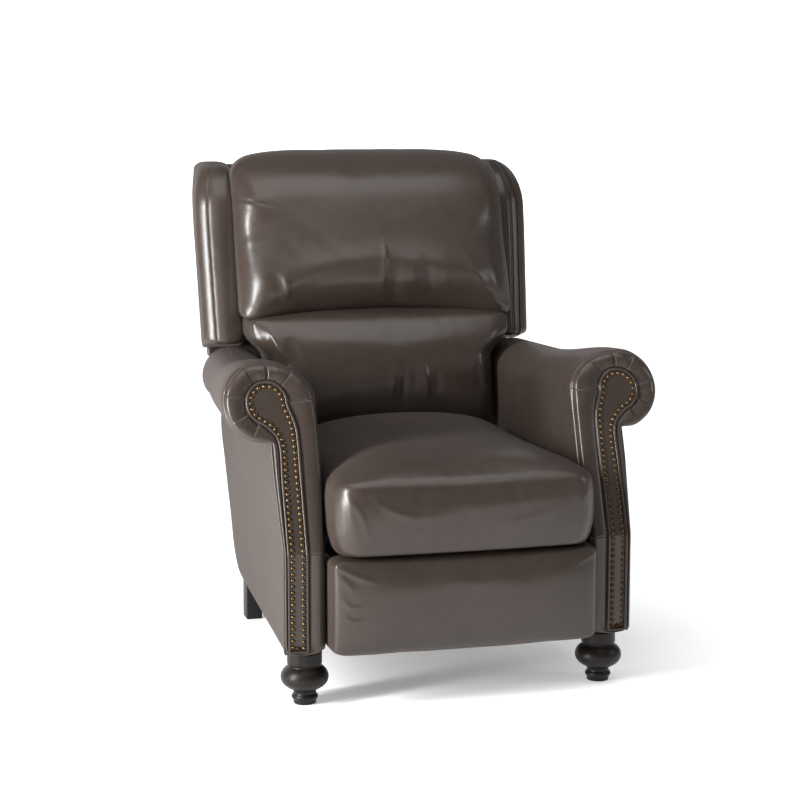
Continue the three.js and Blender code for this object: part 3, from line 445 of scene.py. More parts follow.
def metal(name, low, high, gloss, shine=1.0, scratch=160.0):
    bar = Finish(name)
    where = bar.place()
    wear = bar.noise(where, scratch, 4.0, 0.6)
    lines = bar.noise(bar.place((0.15, 1, 1)), scratch * 5, 2.0)
    bar.feed("Base Color", bar.between(low, high, bar.spread(wear, 0.35, 0.65)))
    bar.feed("Metallic", shine)
    bar.feed("Roughness", wear * 0.2 + lines * 0.08 + (gloss - 0.14))
    bar.feed("Normal", bar.bump(lines, 0.0001, 0.3))
    return bar.material


def woven(name, low, high, pitch):
    cloth = Finish(name, Roughness=0.85)
    where = cloth.place()

    def bands(direction, scale):
        settings = {"wave_type": "BANDS", "bands_direction": direction, "wave_profile": "SIN"}
        return cloth.node("ShaderNodeTexWave", settings, {"Vector": where, "Scale": scale})["Fac"]

    thread = bands("X", pitch) * bands("Z", pitch * 0.6)
    cloth.feed("Base Color", cloth.between(low, high, thread * 0.7 + cloth.noise(where, 60.0) * 0.3))
    cloth.feed("Normal", cloth.bump(thread, 0.0006, 0.8))
    return cloth.material


def nylon_finish(name):
    block = Finish(name)
    where = block.place()
    haze = block.noise(where, 220.0, 4.0)
    block.feed("Base Color", block.between((0.012, 0.012, 0.013, 1), (0.022, 0.022, 0.023, 1), haze))
    block.feed("Roughness", haze * 0.2 + 0.42)
    block.feed("Normal", block.bump(haze, 0.0002, 0.3))
    return block.material


ESPRESSO = timber("espresso_wood", (0.0055, 0.0045, 0.0038, 1), (0.014, 0.011, 0.009, 1),
                  gloss=0.42, grain=26.0, coat=0.04)
# Frame timber darkened as painted shade, for the rails that show in the gaps
PAINTED_SHADE_TIMBER = timber("stained_timber", (0.018, 0.013, 0.01, 1), (0.034, 0.025, 0.019, 1), gloss=0.7, grain=20.0)
RAW_WOOD = timber("frame_timber", (0.36, 0.235, 0.125, 1), (0.54, 0.39, 0.235, 1), gloss=0.72, grain=18.0)
PAINTED_STEEL = metal("painted_steel", (0.035, 0.036, 0.038, 1), (0.06, 0.061, 0.064, 1),
                      gloss=0.48, shine=0.75)
ZINC = metal("zinc_steel", (0.42, 0.43, 0.44, 1), (0.58, 0.59, 0.6, 1), gloss=0.36)
BRONZE = metal("bronze_nails", (0.045, 0.027, 0.0145, 1), (0.135, 0.085, 0.045, 1), gloss=0.36, scratch=300.0)
NYLON = nylon_finish("nylon")
WEBBING = woven("webbing", (0.008, 0.007, 0.006, 1), (0.035, 0.031, 0.028, 1), pitch=420.0)
print("finishes:", len(bpy.data.materials))

# %% [markdown]
# ## The outlines of the arm and of its nailed panel
# From the front, an arm is a narrow upright that swells into a scroll, and the nailed panel is a keyhole
# inside it. Both outlines are listed as pairs of points, inner side and outer side, at matching heights,
# so a skin can run from one to the other. That is how the cover itself runs, from the panel to the arm.

# %% Arm and panel outlines
ARM_BOTTOM, ARM_KINK, ARM_FRONT, ARM_REAR = 106.0, 313.0, -46.0, 705.0
HEAD_LEAN = math.tan(math.radians(20.2))
HEEL_HIGH, HEEL_DEEP = 96.0, 125.0
INNER_FRONT, INNER_REAR, INNER_DRAWN_IN = 274.5, 258.0, 8.5
OUTER_FRONT, OUTER_REAR_LOW, OUTER_REAR_HIGH = 367.0, 321.0, 350.0
ROLL_TOP, ROLL_TOP_REAR = 676.0, 637.0
ROLL_RADIUS, ROLL_RADIUS_REAR = 78.0, 60.0
ROLL_OUTER, ROLL_OUTER_REAR = 458.0, 389.0
TUCK_ANGLE = math.radians(-100)
PANEL_HEAD, PANEL_RADIUS = np.array([369.5, 596.5]), 43.0
PANEL_FOOT, PANEL_NECK, STEM_INNER, STEM_OUTER = 113.0, 525.0, 310.5, 354.0
HEAD_ROWS, HEAD_FINE = 8, 92
SMALL_GAP = 0.3


def arm_front(z):
    return ARM_FRONT + np.maximum(0, np.asarray(z, float) - ARM_KINK) * HEAD_LEAN


def share_of(value, low, high):
    """How far a value is from low to high, kept within 0 and 1."""
    return min(1, max(0, (value - low) / (high - low)))


def arm_rear(z):
    # The heel's round stops short of its end, where it would run level
    drop = np.clip((ARM_BOTTOM + HEEL_HIGH - np.asarray(z, float)) / (HEEL_HIGH * 1.02), 0, 1)
    return ARM_REAR - HEEL_DEEP * (1 - np.sqrt(1 - drop * drop))


def arm_inner(z, along):
    return mix(INNER_FRONT - INNER_DRAWN_IN * share_of(z, ARM_KINK, 450), INNER_REAR, along)


def arm_outer(z, along):
    front = OUTER_FRONT - 7 * (1 - share_of(z, ARM_KINK, 463))
    return mix(front, mix(OUTER_REAR_LOW, OUTER_REAR_HIGH, share_of(z, 150, 450)), along)


def arm_roll(along):
    """Centre (x, z), radius, and the height where the roll meets the outer side."""
    length = ARM_REAR - float(arm_front(ROLL_TOP))
    gone = along * length
    fall = float(ease((gone + 45) / 414))
    top = mix(ROLL_TOP, ROLL_TOP_REAR, fall) - 16 * float(ease((gone - length + 50) / 50))
    radius = mix(ROLL_RADIUS, ROLL_RADIUS_REAR, fall)
    centre_x, centre_z = mix(ROLL_OUTER, ROLL_OUTER_REAR, along) - radius, top - radius
    return centre_x, centre_z, radius, centre_z + radius * math.sin(TUCK_ANGLE) - SMALL_GAP


def stem_levels(low, tuck, high):
    """Six heights of the stem: three up to the kink and three above it."""
    return [low, mix(ARM_BOTTOM, ARM_KINK, 0.5), ARM_KINK, mix(ARM_KINK, tuck, 1 / 3),
            mix(ARM_KINK, tuck, 2 / 3), high]


def arm_pairs(along):
    centre_x, centre_z, radius, tuck = arm_roll(along)
    levels = stem_levels(ARM_BOTTOM, tuck, tuck)
    pairs = [[[arm_inner(z, along), z], [arm_outer(z, along), z]] for z in levels]
    for row in range(1, HEAD_ROWS + 1):
        share = row / HEAD_ROWS
        angle = mix(TUCK_ANGLE, math.pi / 2, share)
        outer = [centre_x + radius * math.cos(angle), centre_z + radius * math.sin(angle)]
        shoulder = share_of(share, 0.25, 1)
        angle = mix(math.pi, math.pi / 2, shoulder)
        inner = [centre_x + (centre_x - arm_inner(centre_z, along)) * math.cos(angle),
                 centre_z + radius * math.sin(angle) if shoulder > 0 else mix(tuck, centre_z, share * 4)]
        pairs.append([inner, outer])
    return np.array(pairs)


def panel_pairs(grow=0.0):
    tuck = arm_roll(0)[3]
    levels = stem_levels(PANEL_FOOT - grow, tuck, min(tuck, PANEL_NECK))
    pairs = [[[STEM_INNER - grow, z], [STEM_OUTER + grow, z]] for z in levels]
    radius = PANEL_RADIUS + grow
    for row in range(1, HEAD_ROWS + 1):
        share = (row - 1) / (HEAD_ROWS - 1)
        angle = math.radians(mix(-75, 90, share))
        outer = PANEL_HEAD + radius * np.array([math.cos(angle), math.sin(angle)])
        angle = math.radians(mix(200, 90, share))
        inner = PANEL_HEAD + radius * np.array([math.cos(angle), math.sin(angle)])
        if row == 1:
            # The first row leads over from the stem to the head
            outer = [372 + grow * 0.7, 547 - grow * 0.7]
            inner = [STEM_INNER + 3 - grow, mix(PANEL_NECK, inner[1], 0.5)]
        pairs.append([inner, outer])
    return np.array(pairs)


# The rows crowd round the kink, where a seam crosses the border
NEAR_KINK = 2 + np.array([-0.06, -0.035, -0.018, 0, 0.022, 0.045, 0.08])
STEM_AT = np.sort(np.concatenate([np.linspace(0, 5, 23), NEAR_KINK]))
HEAD_AT = np.linspace(0, HEAD_ROWS, HEAD_FINE + 1)[1:]


def fine_pairs(pairs, one_curve=False):
    """Pairs at many more heights; the stem and the head are separate curves where they meet at a corner."""
    flat = pairs.reshape(len(pairs), 4)
    if one_curve:
        fine = spline(flat, np.concatenate([STEM_AT, 5 + HEAD_AT]))
    else:
        fine = np.vstack([spline(flat[:6], STEM_AT), spline(flat[5:], HEAD_AT)])
    return fine.reshape(-1, 2, 2)


def ring_of(pairs, depth):
    """Up the inner side, over the top and down the outer side, as points (x, y, z)."""
    outline = np.vstack([pairs[:, 0], pairs[:-1, 1][::-1]])
    return np.column_stack([outline[:, 0], depth(outline[:, 1]), outline[:, 1]])


print("arm outline has", len(ring_of(fine_pairs(arm_pairs(0)), arm_front)), "points a ring")

# %% [markdown]
# ## Arms
# The arm's cover is pulled over a padded scroll and gathered into pleats round the nailed panel.
# It could be a box with a bevel, but the scroll changes along its whole length, so it is a loft of the
# arm's outline from front to back. The last rings roll over the soft edge and dive into the panel's pocket,
# and the pleats are pressed in along lines that fan out from the panel's head.

# %% Arms with gathered heads
EDGE_SHARES = [0, 0.05, 0.16, 0.32, 0.50, 0.68, 0.86, 0.96, 1.0, 1.0]
EDGE_DEPTHS = [1.0, 0.42, 0.07, -2.6, -3.6, -3.2, -1.6, 0.6, 2.2, 9.7]
EDGE_STEPS, STATIONS, LAST_EDGE_SHARE = 28, 34, 5
PLEAT_ANGLES = np.radians([178, 133, 95, 58, 12, -26, -62])
PLEAT_SPAN, FAN_END = np.radians(21), np.radians(203)
CROSS_SEAM_DEEP, CROSS_SEAM_WIDE = 1.3, 1.3


def edge_round(points):
    """Depth of the soft edge at each point of the front: wide inside, tight at the side seam and low down."""
    x, z = points[:, 0], points[:, 2]
    inside = mix(mix(15, 38, ease((z - 300) / 46)), 29, ease((z - 560) / 60))
    outside = mix(10, 29, ease((z - 512) / 26))
    return mix(inside, outside, ease((x - 322) / 40))


def pleats(points, reach):
    """How far each point is lifted by the gathers: a sharp line, one lip higher than the other, and a
    facet between two lines. Reach is 0 at the panel, 1 at the arm's rim and more along the roll."""
    away = np.hypot(points[:, 0] - PANEL_HEAD[0], points[:, 2] - PANEL_HEAD[1])
    angle = np.arctan2(points[:, 2] - PANEL_HEAD[1], points[:, 0] - PANEL_HEAD[0])
    angle = np.where(angle < -np.pi * 0.62, angle + 2 * np.pi, angle)
    offset = angle[:, None] - PLEAT_ANGLES[None, :]
    nearest = np.argmin(np.abs(offset), 1)
    signed = offset[np.arange(len(points)), nearest] * away
    share = np.abs(signed) / np.maximum(away, 1) / PLEAT_SPAN
    fan = np.clip((points[:, 2] - 526) / 22, 0, 1) * np.clip((FAN_END - angle) / 0.2, 0, 1)
    fade = np.clip((0.98 - reach) / 0.5, 0, 1) * np.clip(reach / 0.05, 0, 1)
    line = -2.3 * np.exp(-((signed / 1.5) ** 2))
    lip = 1.5 * np.tanh(signed / 1.6) * np.exp(-np.abs(signed) / 11)
    facet = 2.6 * np.clip(share, 0, 1) ** 0.8 * np.exp(-(((reach - 0.52) / 0.25) ** 2))
    return fan * (fade * (line + lip * np.where(points[:, 0] > PANEL_HEAD[0], -1, 1)) + facet)


def make_arm(name, side):
    front, pocket = fine_pairs(arm_pairs(0)), fine_pairs(panel_pairs(0.3), one_curve=True)
    at = np.linspace(0, len(EDGE_SHARES) - 1, EDGE_STEPS)
    edge = spline(np.column_stack([EDGE_SHARES, EDGE_DEPTHS]), at)
    rings, reaches = [], []
    rim = ring_of(front, arm_front)
    soft = edge_round(rim)
    for step, (share, depth) in zip(at[::-1], edge[::-1]):
        ring = ring_of(mix(front, pocket, min(1, share)), arm_front)
        # On the way round the edge a depth is a share of it; past the edge it is in millimetres
        ring[:, 1] += depth * soft if depth > 0 and step < LAST_EDGE_SHARE else depth
        rings.append(ring)
        reaches.append(np.full(len(ring), 1 - share))
    for along in np.linspace(0, 1, STATIONS)[1:] ** 1.3:
        ring = ring_of(fine_pairs(arm_pairs(along)), arm_front)
        ring[:, 1] = mix(ring[:, 1] + soft, arm_rear(ring[:, 2]), along)
        rings.append(ring)
        reaches.append(np.full(len(ring), 1 + along * 6))
    made = loft(name, rings, COVER)
    store = made.data.attributes.new("reach", "FLOAT", "POINT")
    store.data.foreach_set("value", np.concatenate(reaches).astype(np.float32))
    refine(made)
    reach = np.empty(len(made.data.vertices), np.float32)
    made.data.attributes["reach"].data.foreach_get("value", reach)
    made.data.attributes.remove(made.data.attributes["reach"])
    points = points_of(made)
    lift = pleats(points, reach)
    seam = np.exp(-(((points[:, 2] - ARM_KINK + 1) / CROSS_SEAM_WIDE) ** 2)) * np.clip(reach / 0.08, 0, 1)
    on_border = (points[:, 1] < arm_front(points[:, 2]) + 30) * (points[:, 0] < 312)
    lift -= CROSS_SEAM_DEEP * seam * on_border
    points += normals_of(made) * lift[:, None]
    points[:, 0] *= side
    put_points(made, points)
    return point_outwards(made)


for word, side in SIDES.items():
    made = make_arm("arm_cover_" + word, side)
    dress(made, "frame", "leather", "arm_" + word, fill=0.7)
    print(made.name, len(made.data.polygons), "faces")

# %% [markdown]
# ## Nailed front panels
# The panel is a thin keyhole board under the same leather, with a corded edge. The cover is drawn tight,
# so it is nearly flat with a slight crown. It is made as horizontal slices between the two sides of the
# keyhole, because every slice meets the outline once on each side, and the cord is a tube along the outline.

# %% Front panels and their cords
WELT_RADIUS, BOARD_THICK, PANEL_CROWN, CROWN_RUN = 3.3, 9.4, 2.2, 16.0


def panel_outline(grow):
    ring = ring_of(fine_pairs(panel_pairs(grow), one_curve=True), arm_front)[:, [0, 2]]
    return evenly(ring, 4.0, closed=True)


def make_panel(name, side):
    pairs = fine_pairs(panel_pairs(0), one_curve=True)
    shares = 0.5 - 0.5 * np.cos(np.linspace(0, np.pi, 13))
    board, points = [], []
    for inner, outer in pairs:
        half = abs(outer[0] - inner[0]) / 2
        for share in shares:
            spot = mix(inner, outer, share)
            edge = half * (1 - abs(2 * share - 1))
            top = PANEL_HEAD[1] + PANEL_RADIUS - spot[1]
            crown = PANEL_CROWN * float(ease(min(edge, top, spot[1] - PANEL_FOOT) / CROWN_RUN))
            points.append([side * spot[0], float(arm_front(spot[1])) - crown, spot[1]])
            board.append([side * spot[0], float(arm_front(spot[1])) + BOARD_THICK, spot[1]])
    faces = slab_faces(len(pairs), len(shares))
    field = point_outwards(piece_from(name, points + board, faces, COVER), weld=1e-6)
    cord = panel_outline(-WELT_RADIUS)
    lift = np.column_stack([side * cord[:, 0], arm_front(cord[:, 1]) - 1.0, cord[:, 1]])
    return field, tube(name + "_cord", lift, WELT_RADIUS, PIPING, closed=True)


for word, side in SIDES.items():
    field, cord = make_panel("front_panel_" + word, side)
    dress(field, "frame", "leather", "arm_front_panel_" + word)
    dress(cord, "frame", "leather")
    print(field.name, len(field.data.polygons), "faces")

# %% [markdown]
# ## The side seam of the arms
# Where the outer side panel meets the front border, under the scroll, the cover is joined with a thin
# welt that runs down to the arm's foot. It is another tube, laid on the arm's front outer edge.

# %% Side welts
SIDE_WELT_TOP, SIDE_WELT_FOOT, SIDE_WELT_RADIUS, TURN_IN = 526.0, 122.0, 2.5, 10.0
turned_in = SIDE_WELT_FOOT - TURN_IN * np.sin(np.linspace(0.2, np.pi / 2, 6))
heights = np.concatenate([np.linspace(SIDE_WELT_TOP, SIDE_WELT_FOOT, 90), turned_in])
turn = np.clip((SIDE_WELT_FOOT - heights) / TURN_IN, 0, 1)
for word, side in SIDES.items():
    path = [[side * (arm_outer(z, 0) - 0.9 - 3 * t**2), float(arm_front(z)) + 3.6 + 3 * t**2, z]
            for z, t in zip(heights, turn)]
    dress(tube("side_welt_" + word, path, SIDE_WELT_RADIUS, PIPING), "frame", "leather")
print("side welts made")

# %% [markdown]
# ## Nail heads
# About ninety bronze nails follow each panel's edge, just inside the cord. Placing them by hand would be
# dull and uneven; a Geometry Nodes tree walks the path and sets a head at every step instead. The heads are
# a low dome of a few dozen faces, turned to face the way the panel does, and then made real in one mesh.


# %% Nails along the panels
def nail_head(radius, high):
    """A dome, its base at height 0."""
    sides, rows = 12, 4
    points = [[0, 0, high]]
    for r in range(1, rows + 1):
        angle = r / rows * np.pi / 2
        out = radius * math.sin(angle)
        for s in range(sides):
            turn = 2 * np.pi * s / sides
            points.append([out * math.cos(turn), out * math.sin(turn), high * math.cos(angle)])
    faces = [[0, 1 + s, 1 + (s + 1) % sides] for s in range(sides)]
    faces += grid_faces(rows, sides, start=1, round_columns=True)
    mesh = bpy.data.meshes.new("nail_head")
    mesh.from_pydata(points, [], faces)
    mesh.polygons.foreach_set("use_smooth", [True] * len(mesh.polygons))
    return add_object("nail_head", mesh)


def nail_tree():
    """Path in, nail heads out: the sizes are inputs of the tree."""
    tree = bpy.data.node_groups.new("nails_along_path", "GeometryNodeTree")
    face = tree.interface
    face.new_socket("Geometry", in_out="INPUT", socket_type="NodeSocketGeometry")
    for name, kind in (("Pitch", "Float"), ("Head", "Object"), ("Finish", "Material")):
        face.new_socket(name, in_out="INPUT", socket_type="NodeSocket" + kind)
    face.new_socket("Geometry", in_out="OUTPUT", socket_type="NodeSocketGeometry")
    add, join = tree.nodes.new, tree.links.new
    start, end = add("NodeGroupInput"), add("NodeGroupOutput")
    curve, steps = add("GeometryNodeMeshToCurve"), add("GeometryNodeResampleCurve")
    steps.mode = "LENGTH"
    facing, turn = add("GeometryNodeInputNamedAttribute"), add("FunctionNodeAlignRotationToVector")
    facing.data_type = "FLOAT_VECTOR"
    facing.inputs["Name"].default_value = "facing"
    turn.axis = "Z"
    heads, info = add("GeometryNodeInstanceOnPoints"), add("GeometryNodeObjectInfo")
    real, paint = add("GeometryNodeRealizeInstances"), add("GeometryNodeSetMaterial")
    join(start.outputs["Geometry"], curve.inputs["Mesh"])
    join(curve.outputs["Curve"], steps.inputs["Curve"])
    join(start.outputs["Pitch"], steps.inputs["Length"])
    join(steps.outputs["Curve"], heads.inputs["Points"])
    join(start.outputs["Head"], info.inputs["Object"])
    join(info.outputs["Geometry"], heads.inputs["Instance"])
    join(facing.outputs["Attribute"], turn.inputs["Vector"])
    join(turn.outputs["Rotation"], heads.inputs["Rotation"])
    join(heads.outputs["Instances"], real.inputs["Geometry"])
    join(real.outputs["Geometry"], paint.inputs["Geometry"])
    join(start.outputs["Finish"], paint.inputs["Material"])
    join(paint.outputs["Geometry"], end.inputs["Geometry"])
    return tree


def run_tree(made, tree, values):
    """Gives a tree its inputs by identifier, bakes what it makes, and drops the modifier."""
    worker = made.modifiers.new(tree.name, "NODES")
    worker.node_group = tree
    for item in tree.interface.items_tree:
        if item.item_type == "SOCKET" and item.in_out == "INPUT" and item.name in values:
            worker[item.identifier] = values[item.name]
    return apply_modifiers(made)


NAIL_PITCH, NAIL_RADIUS, NAIL_HIGH, NAIL_INSET, NAIL_STANDS_OUT = 12.1, 4.9, 3.1, 10.8, 1.6
STEM_MIDDLE = 332.0
nails = nail_tree()
head = nail_head(NAIL_RADIUS / 1000, NAIL_HIGH / 1000)
for word, side in SIDES.items():
    path = panel_outline(-NAIL_INSET)
    # The path starts and ends at the middle of the foot
    low = int(np.argmin(np.abs(path[:, 0] - STEM_MIDDLE) + np.abs(path[:, 1] - path[:, 1].min())))
    path = np.roll(path, -low, 0)
    path = np.vstack([path, path[:1]])
    points = np.column_stack([side * path[:, 0], arm_front(path[:, 1]) - NAIL_STANDS_OUT, path[:, 1]])
    rail = piece_from("nails_" + word, points, [], edges=[[i, i + 1] for i in range(len(points) - 1)])
    leaning = (path[:, 1] > ARM_KINK).astype(float)
    facing = np.column_stack([0 * leaning, -1 + 0 * leaning, leaning * HEAD_LEAN])
    store = rail.data.attributes.new("facing", "FLOAT_VECTOR", "POINT")
    store.data.foreach_set("vector", facing.astype(np.float32).ravel())
    run_tree(rail, nails, {"Pitch": NAIL_PITCH / 1000, "Head": head, "Finish": BRONZE})
    dress(rail, "frame", "zinc_steel")
    print(rail.name, len(rail.data.polygons), "faces")
bpy.data.objects.remove(head)

# %% [markdown]
# ## Turned front feet
# The feet are turned on a lathe: a bulb between a groove and a small ring. Spinning a smooth profile in
# many steps gives the same form, and the profile is drawn with the tight radii a lathe tool leaves.

# %% Turned feet
FOOT_PROFILE = [[0, 0], [21.4, 0], [22.6, 0.8], [22.7, 3], [22.7, 7], [23.2, 8.6], [25.4, 10.2], [26.5, 12.4],
                [26.6, 14.2], [26.2, 16.4], [24.6, 18.4], [22.9, 20], [22.5, 22.5], [22.6, 25], [23.4, 27.2],
                [27, 29.6], [34, 33.4], [40.6, 38.2], [45.4, 44.4], [47.6, 50.6], [47.9, 55], [46.9, 61],
                [43.6, 67.6], [38.6, 72.8], [34.4, 75.6], [32.8, 77], [32.6, 78.4], [33.1, 79.8], [34.5, 81],
                [34.9, 83], [34.9, 88], [34.7, 96], [34.9, 103], [34.9, 105.7], [0, 105.7]]


def turned(name, profile, x, y, finish, sides=64):
    """A turned piece on an upright axis."""
    profile = np.array(profile)
    turn = np.linspace(0, 2 * np.pi, sides, endpoint=False)
    rings = [[[x + r * math.cos(t), y + r * math.sin(t), z] for t in turn] for r, z in profile[1:-1]]
    points = [[x, y, profile[0][1]], *np.array(rings).reshape(-1, 3).tolist(), [x, y, profile[-1][1]]]
    faces = grid_faces(len(rings), sides, start=1, round_columns=True)
    faces += [[0, 1 + (s + 1) % sides, 1 + s] for s in range(sides)]
    last, top = len(points) - 1, 1 + (len(rings) - 1) * sides
    faces += [[last, top + s, top + (s + 1) % sides] for s in range(sides)]
    return point_outwards(piece_from(name, points, faces, finish))


FOOT_X = 310.5
for word, side in SIDES.items():
    made = turned("turned_foot_" + word, FOOT_PROFILE, side * FOOT_X, 0, ESPRESSO)
    dress(made, "frame", "dark_wood", "front_foot_" + word)
print("feet turned")

# %% [markdown]
# ## The winged back
# Two wings stand over the arms beside the cushions. A wing is a padded board whose nose is foremost near
# its middle and rounds away to the outer side. Two pieces of the cover meet there in a double seam. Each
# level slice is one rounded path that is parted at the seam, so the seam is one column of the skin.

# %% Wings
BACK_LEAN, BACK_FOOT, BACK_THICK = math.tan(math.radians(16)), 300.0, 25.0
WING_LEAN, WING_NOSE = math.tan(math.radians(10.5)), 656.0
WING_FOOT, WING_TOP, WING_RISE, WING_HEEL = 640.0, 1042.0, 100.0, 14.0
WING_INNER, WING_OUTER, WING_OUTER_FOOT, WING_TAIL = 287.0, 394.0, 387.0, 371.0
WING_SEAM_HALF, WING_SEAM_RADIUS = 2.5, 1.9
INNER_STEPS, OUTER_STEPS = 26, 30
# The photograph shows the two seams unequally far in
WING_SEAM_IN = {"left": 29.0, "right": 45.0}


def back_rear(z):
    return ARM_REAR + (np.asarray(z, float) - BACK_FOOT) * BACK_LEAN


def wing_slice(z, seam_in):
    """One level slice: from the inner rear corner to the seam, and from there to the outer rear corner."""
    share = (z - WING_FOOT) / (WING_TOP - WING_FOOT)
    top = min(0.985, max(0, (z - (WING_TOP - WING_RISE)) / WING_RISE))
    rounding = 1 - math.sqrt(1 - top * top)
    low = max(0, 1 - (z - WING_FOOT) / WING_HEEL)
    inset = 9 * (1 - math.sqrt(1 - low * low))
    wide = WING_OUTER - WING_INNER
    nose = WING_NOSE + (z - WING_FOOT) * WING_LEAN + 92 * rounding + inset
    rear = float(back_rear(z)) - BACK_THICK - SMALL_GAP
    outer = mix(WING_OUTER_FOOT, WING_OUTER, min(1, share * 1.6)) - wide * 0.4 * rounding - inset
    inner = WING_INNER + inset + wide * 0.2 * rounding
    tail = min(outer, WING_TAIL)
    deep = min(1.0, (rear - nose) / 60)
    turn = mix(0.6, 1.0, 1 - rounding)
    outline = [[inner, rear], [inner, nose + 32 * deep], [inner + 4 * turn, nose + 13 * deep],
               [inner + 20 * turn, nose + 1], [mix(inner, outer, 0.5), nose - 2], [outer - 46 * turn, nose],
               [outer - 22 * turn, nose + 9 * deep], [outer - 4 * turn, nose + 24 * deep],
               [outer, nose + 42 * deep], [mix(outer, tail, 0.4), mix(nose, rear, 0.8)], [tail, rear]]
    line = evenly(rounded_path(outline), 1.0)
    cut = int(np.argmax(line[:, 0] > outer - seam_in * turn))
    path = np.vstack([resample(line[:cut + 1][::-1], INNER_STEPS, 1.25)[::-1][:-1],
                      resample(line[cut:], OUTER_STEPS, 1.2)])
    # The lower end falls away behind the arm
    heel = 18 * ease((path[:, 1] - 684) / 84) * (1 - share) ** 3
    down = z - heel
    board_front = back_rear(down) - BACK_THICK - SMALL_GAP
    return np.column_stack([path[:, 0], np.minimum(path[:, 1], board_front), down])


def wing_rings(seam_in):
    straight_top = WING_TOP - WING_RISE
    heights = np.concatenate([WING_FOOT + WING_HEEL * (1 - np.cos(np.linspace(0, np.pi / 2, 7))),
                              np.linspace(WING_FOOT + WING_HEEL, straight_top, 26)[1:],
                              straight_top + WING_RISE * np.sin(np.linspace(0, 1.39, 18))[1:]])
    rings = [wing_slice(z, seam_in) for z in heights]
    # A low dome closes the top, and the foot is drawn in a little before it is closed
    last, centre = rings[-1], rings[-1].mean(0)
    for angle in np.radians([24, 46, 66, 84]):
        ring = mix(centre, last, math.cos(angle))
        ring[:, 2] = last[:, 2] + 5 * math.sin(angle)
        rings.append(ring)
    return np.array(rings)


SEAM_AT = INNER_STEPS - 1
for word, side in SIDES.items():
    slices = wing_rings(WING_SEAM_IN[word])
    # The seam sits in a shallow valley
    for away, depth in ((0, 1.4), (1, 0.5), (-1, 0.5)):
        slices[1:-4, SEAM_AT + away, 1] += depth
    line = slices[1:-3, SEAM_AT]
    across = slices[1:-3, SEAM_AT + 2] - slices[1:-3, SEAM_AT - 2]
    across /= np.linalg.norm(across, axis=1)[:, None]
    slices[:, :, 0] *= side
    made = refine(loft("wing_cover_" + word, slices, COVER))
    dress(made, "back", "leather", "wing_" + word, fill=0.8)
    for number, offset in enumerate((-WING_SEAM_HALF, WING_SEAM_HALF), 1):
        cord = evenly((line + across * offset + [0, -0.2, 0]) * [side, 1, 1], 5.0)
        dress(tube("wing_seam_%s_%d" % (word, number), cord, WING_SEAM_RADIUS, PIPING), "back", "leather")
    print(made.name, len(made.data.polygons), "faces")

# %% [markdown]
# ## The outside of the back
# Behind, one tight cover runs over the whole back, over its arched top and down between the arms, where its
# sides turn forward. Slices across the back at many heights give that outline, and each slice has an eased
# edge and a slight crown, as leather over a board has.

# %% The back's outer cover
BACK_TOP, TOP_ROUND, SHOULDER, CORNER = 1038.0, 74.0, 598.0, 8.0
HALF_LOW, HALF_HIGH = 250.0, 362.0
BACK_EDGE, BACK_CROWN = 7.0, 5.0
RETURN_FOOT, RETURN_THICK, RETURN_DEEP, RETURN_REAR = 342.0, 12.0, 92.0, 24.0


def lost_at(share, radius):
    """How far a round corner has turned in, at a share of the way along it."""
    return radius * (1 - math.sqrt(max(0, 1 - share**2)))


def back_half(z):
    """Half the back's width at a height: narrow between the arms, wide above them, arched at the top."""
    if z < SHOULDER - 1:
        return HALF_LOW
    high = max(0.0, z - (BACK_TOP - TOP_ROUND)) / TOP_ROUND
    low = max(0.0, 1 - (z - SHOULDER) / CORNER)
    return HALF_HIGH - lost_at(high, TOP_ROUND) - lost_at(low, CORNER)


def back_cover():
    arch, corner = BACK_TOP - TOP_ROUND, CORNER * (1 - np.cos(np.linspace(0, np.pi / 2, 5)))
    heights = np.concatenate([BACK_FOOT + corner,
                              np.linspace(BACK_FOOT + CORNER, SHOULDER - 2, 14)[1:],
                              [SHOULDER - 1.01, SHOULDER], SHOULDER + corner[1:],
                              np.linspace(SHOULDER + CORNER, arch, 18)[1:],
                              arch + TOP_ROUND * np.sin(np.linspace(0, np.pi / 2, 18))[1:]])
    across = np.sin(np.linspace(-np.pi / 2, np.pi / 2, 41))
    near, far = [], []
    for z in heights:
        half = back_half(z)
        for share in across:
            side_edge = half * (1 - abs(share))
            end_edge = min(BACK_TOP - z, z - BACK_FOOT)
            edge = min(side_edge, end_edge)
            ease_in = lost_at(1 - min(1, edge / BACK_EDGE), BACK_EDGE)
            crown = BACK_CROWN * float(ease(edge / 120))
            low = min(z, BACK_TOP - 1.5 * abs(share))
            far.append([half * share, float(back_rear(low)) - ease_in + crown, low])
            near.append([half * share, float(back_rear(low)) - BACK_THICK + ease_in * 0.3, low])
    faces = slab_faces(len(heights), len(across))
    return point_outwards(piece_from("back_cover", far + near, faces, COVER), weld=1e-6)


made = back_cover()
dress(made, "back", "leather", "back_panel", fill=0.9)
for word, side in SIDES.items():
    foot, top, inside, outside = RETURN_FOOT, SHOULDER - 1.5, HALF_LOW - RETURN_THICK, HALF_LOW
    rings = []
    for z in (foot, foot + 1.2, foot + 4, mix(foot, top, 0.33), mix(foot, top, 0.67), top):
        shut = lost_at(max(0, 4 - (z - foot)) / 4, 4)
        front, rear = float(back_rear(z)) - RETURN_DEEP + shut, float(back_rear(z)) - RETURN_REAR
        rings.append([[side * x, y, z] for x, y in (
            (inside + shut, rear), (inside + shut, front + 5), (inside + shut + 0.8, front + 2),
            (inside + 3, front + 0.5), (mix(inside, outside, 0.5), front), (outside - 3, front + 0.5),
            (outside - shut - 0.8, front + 2), (outside - shut, front + 5), (outside - shut, rear))])
    dress(loft("back_side_" + word, rings, COVER), "back", "leather")
print("back cover:", len(made.data.polygons), "faces")

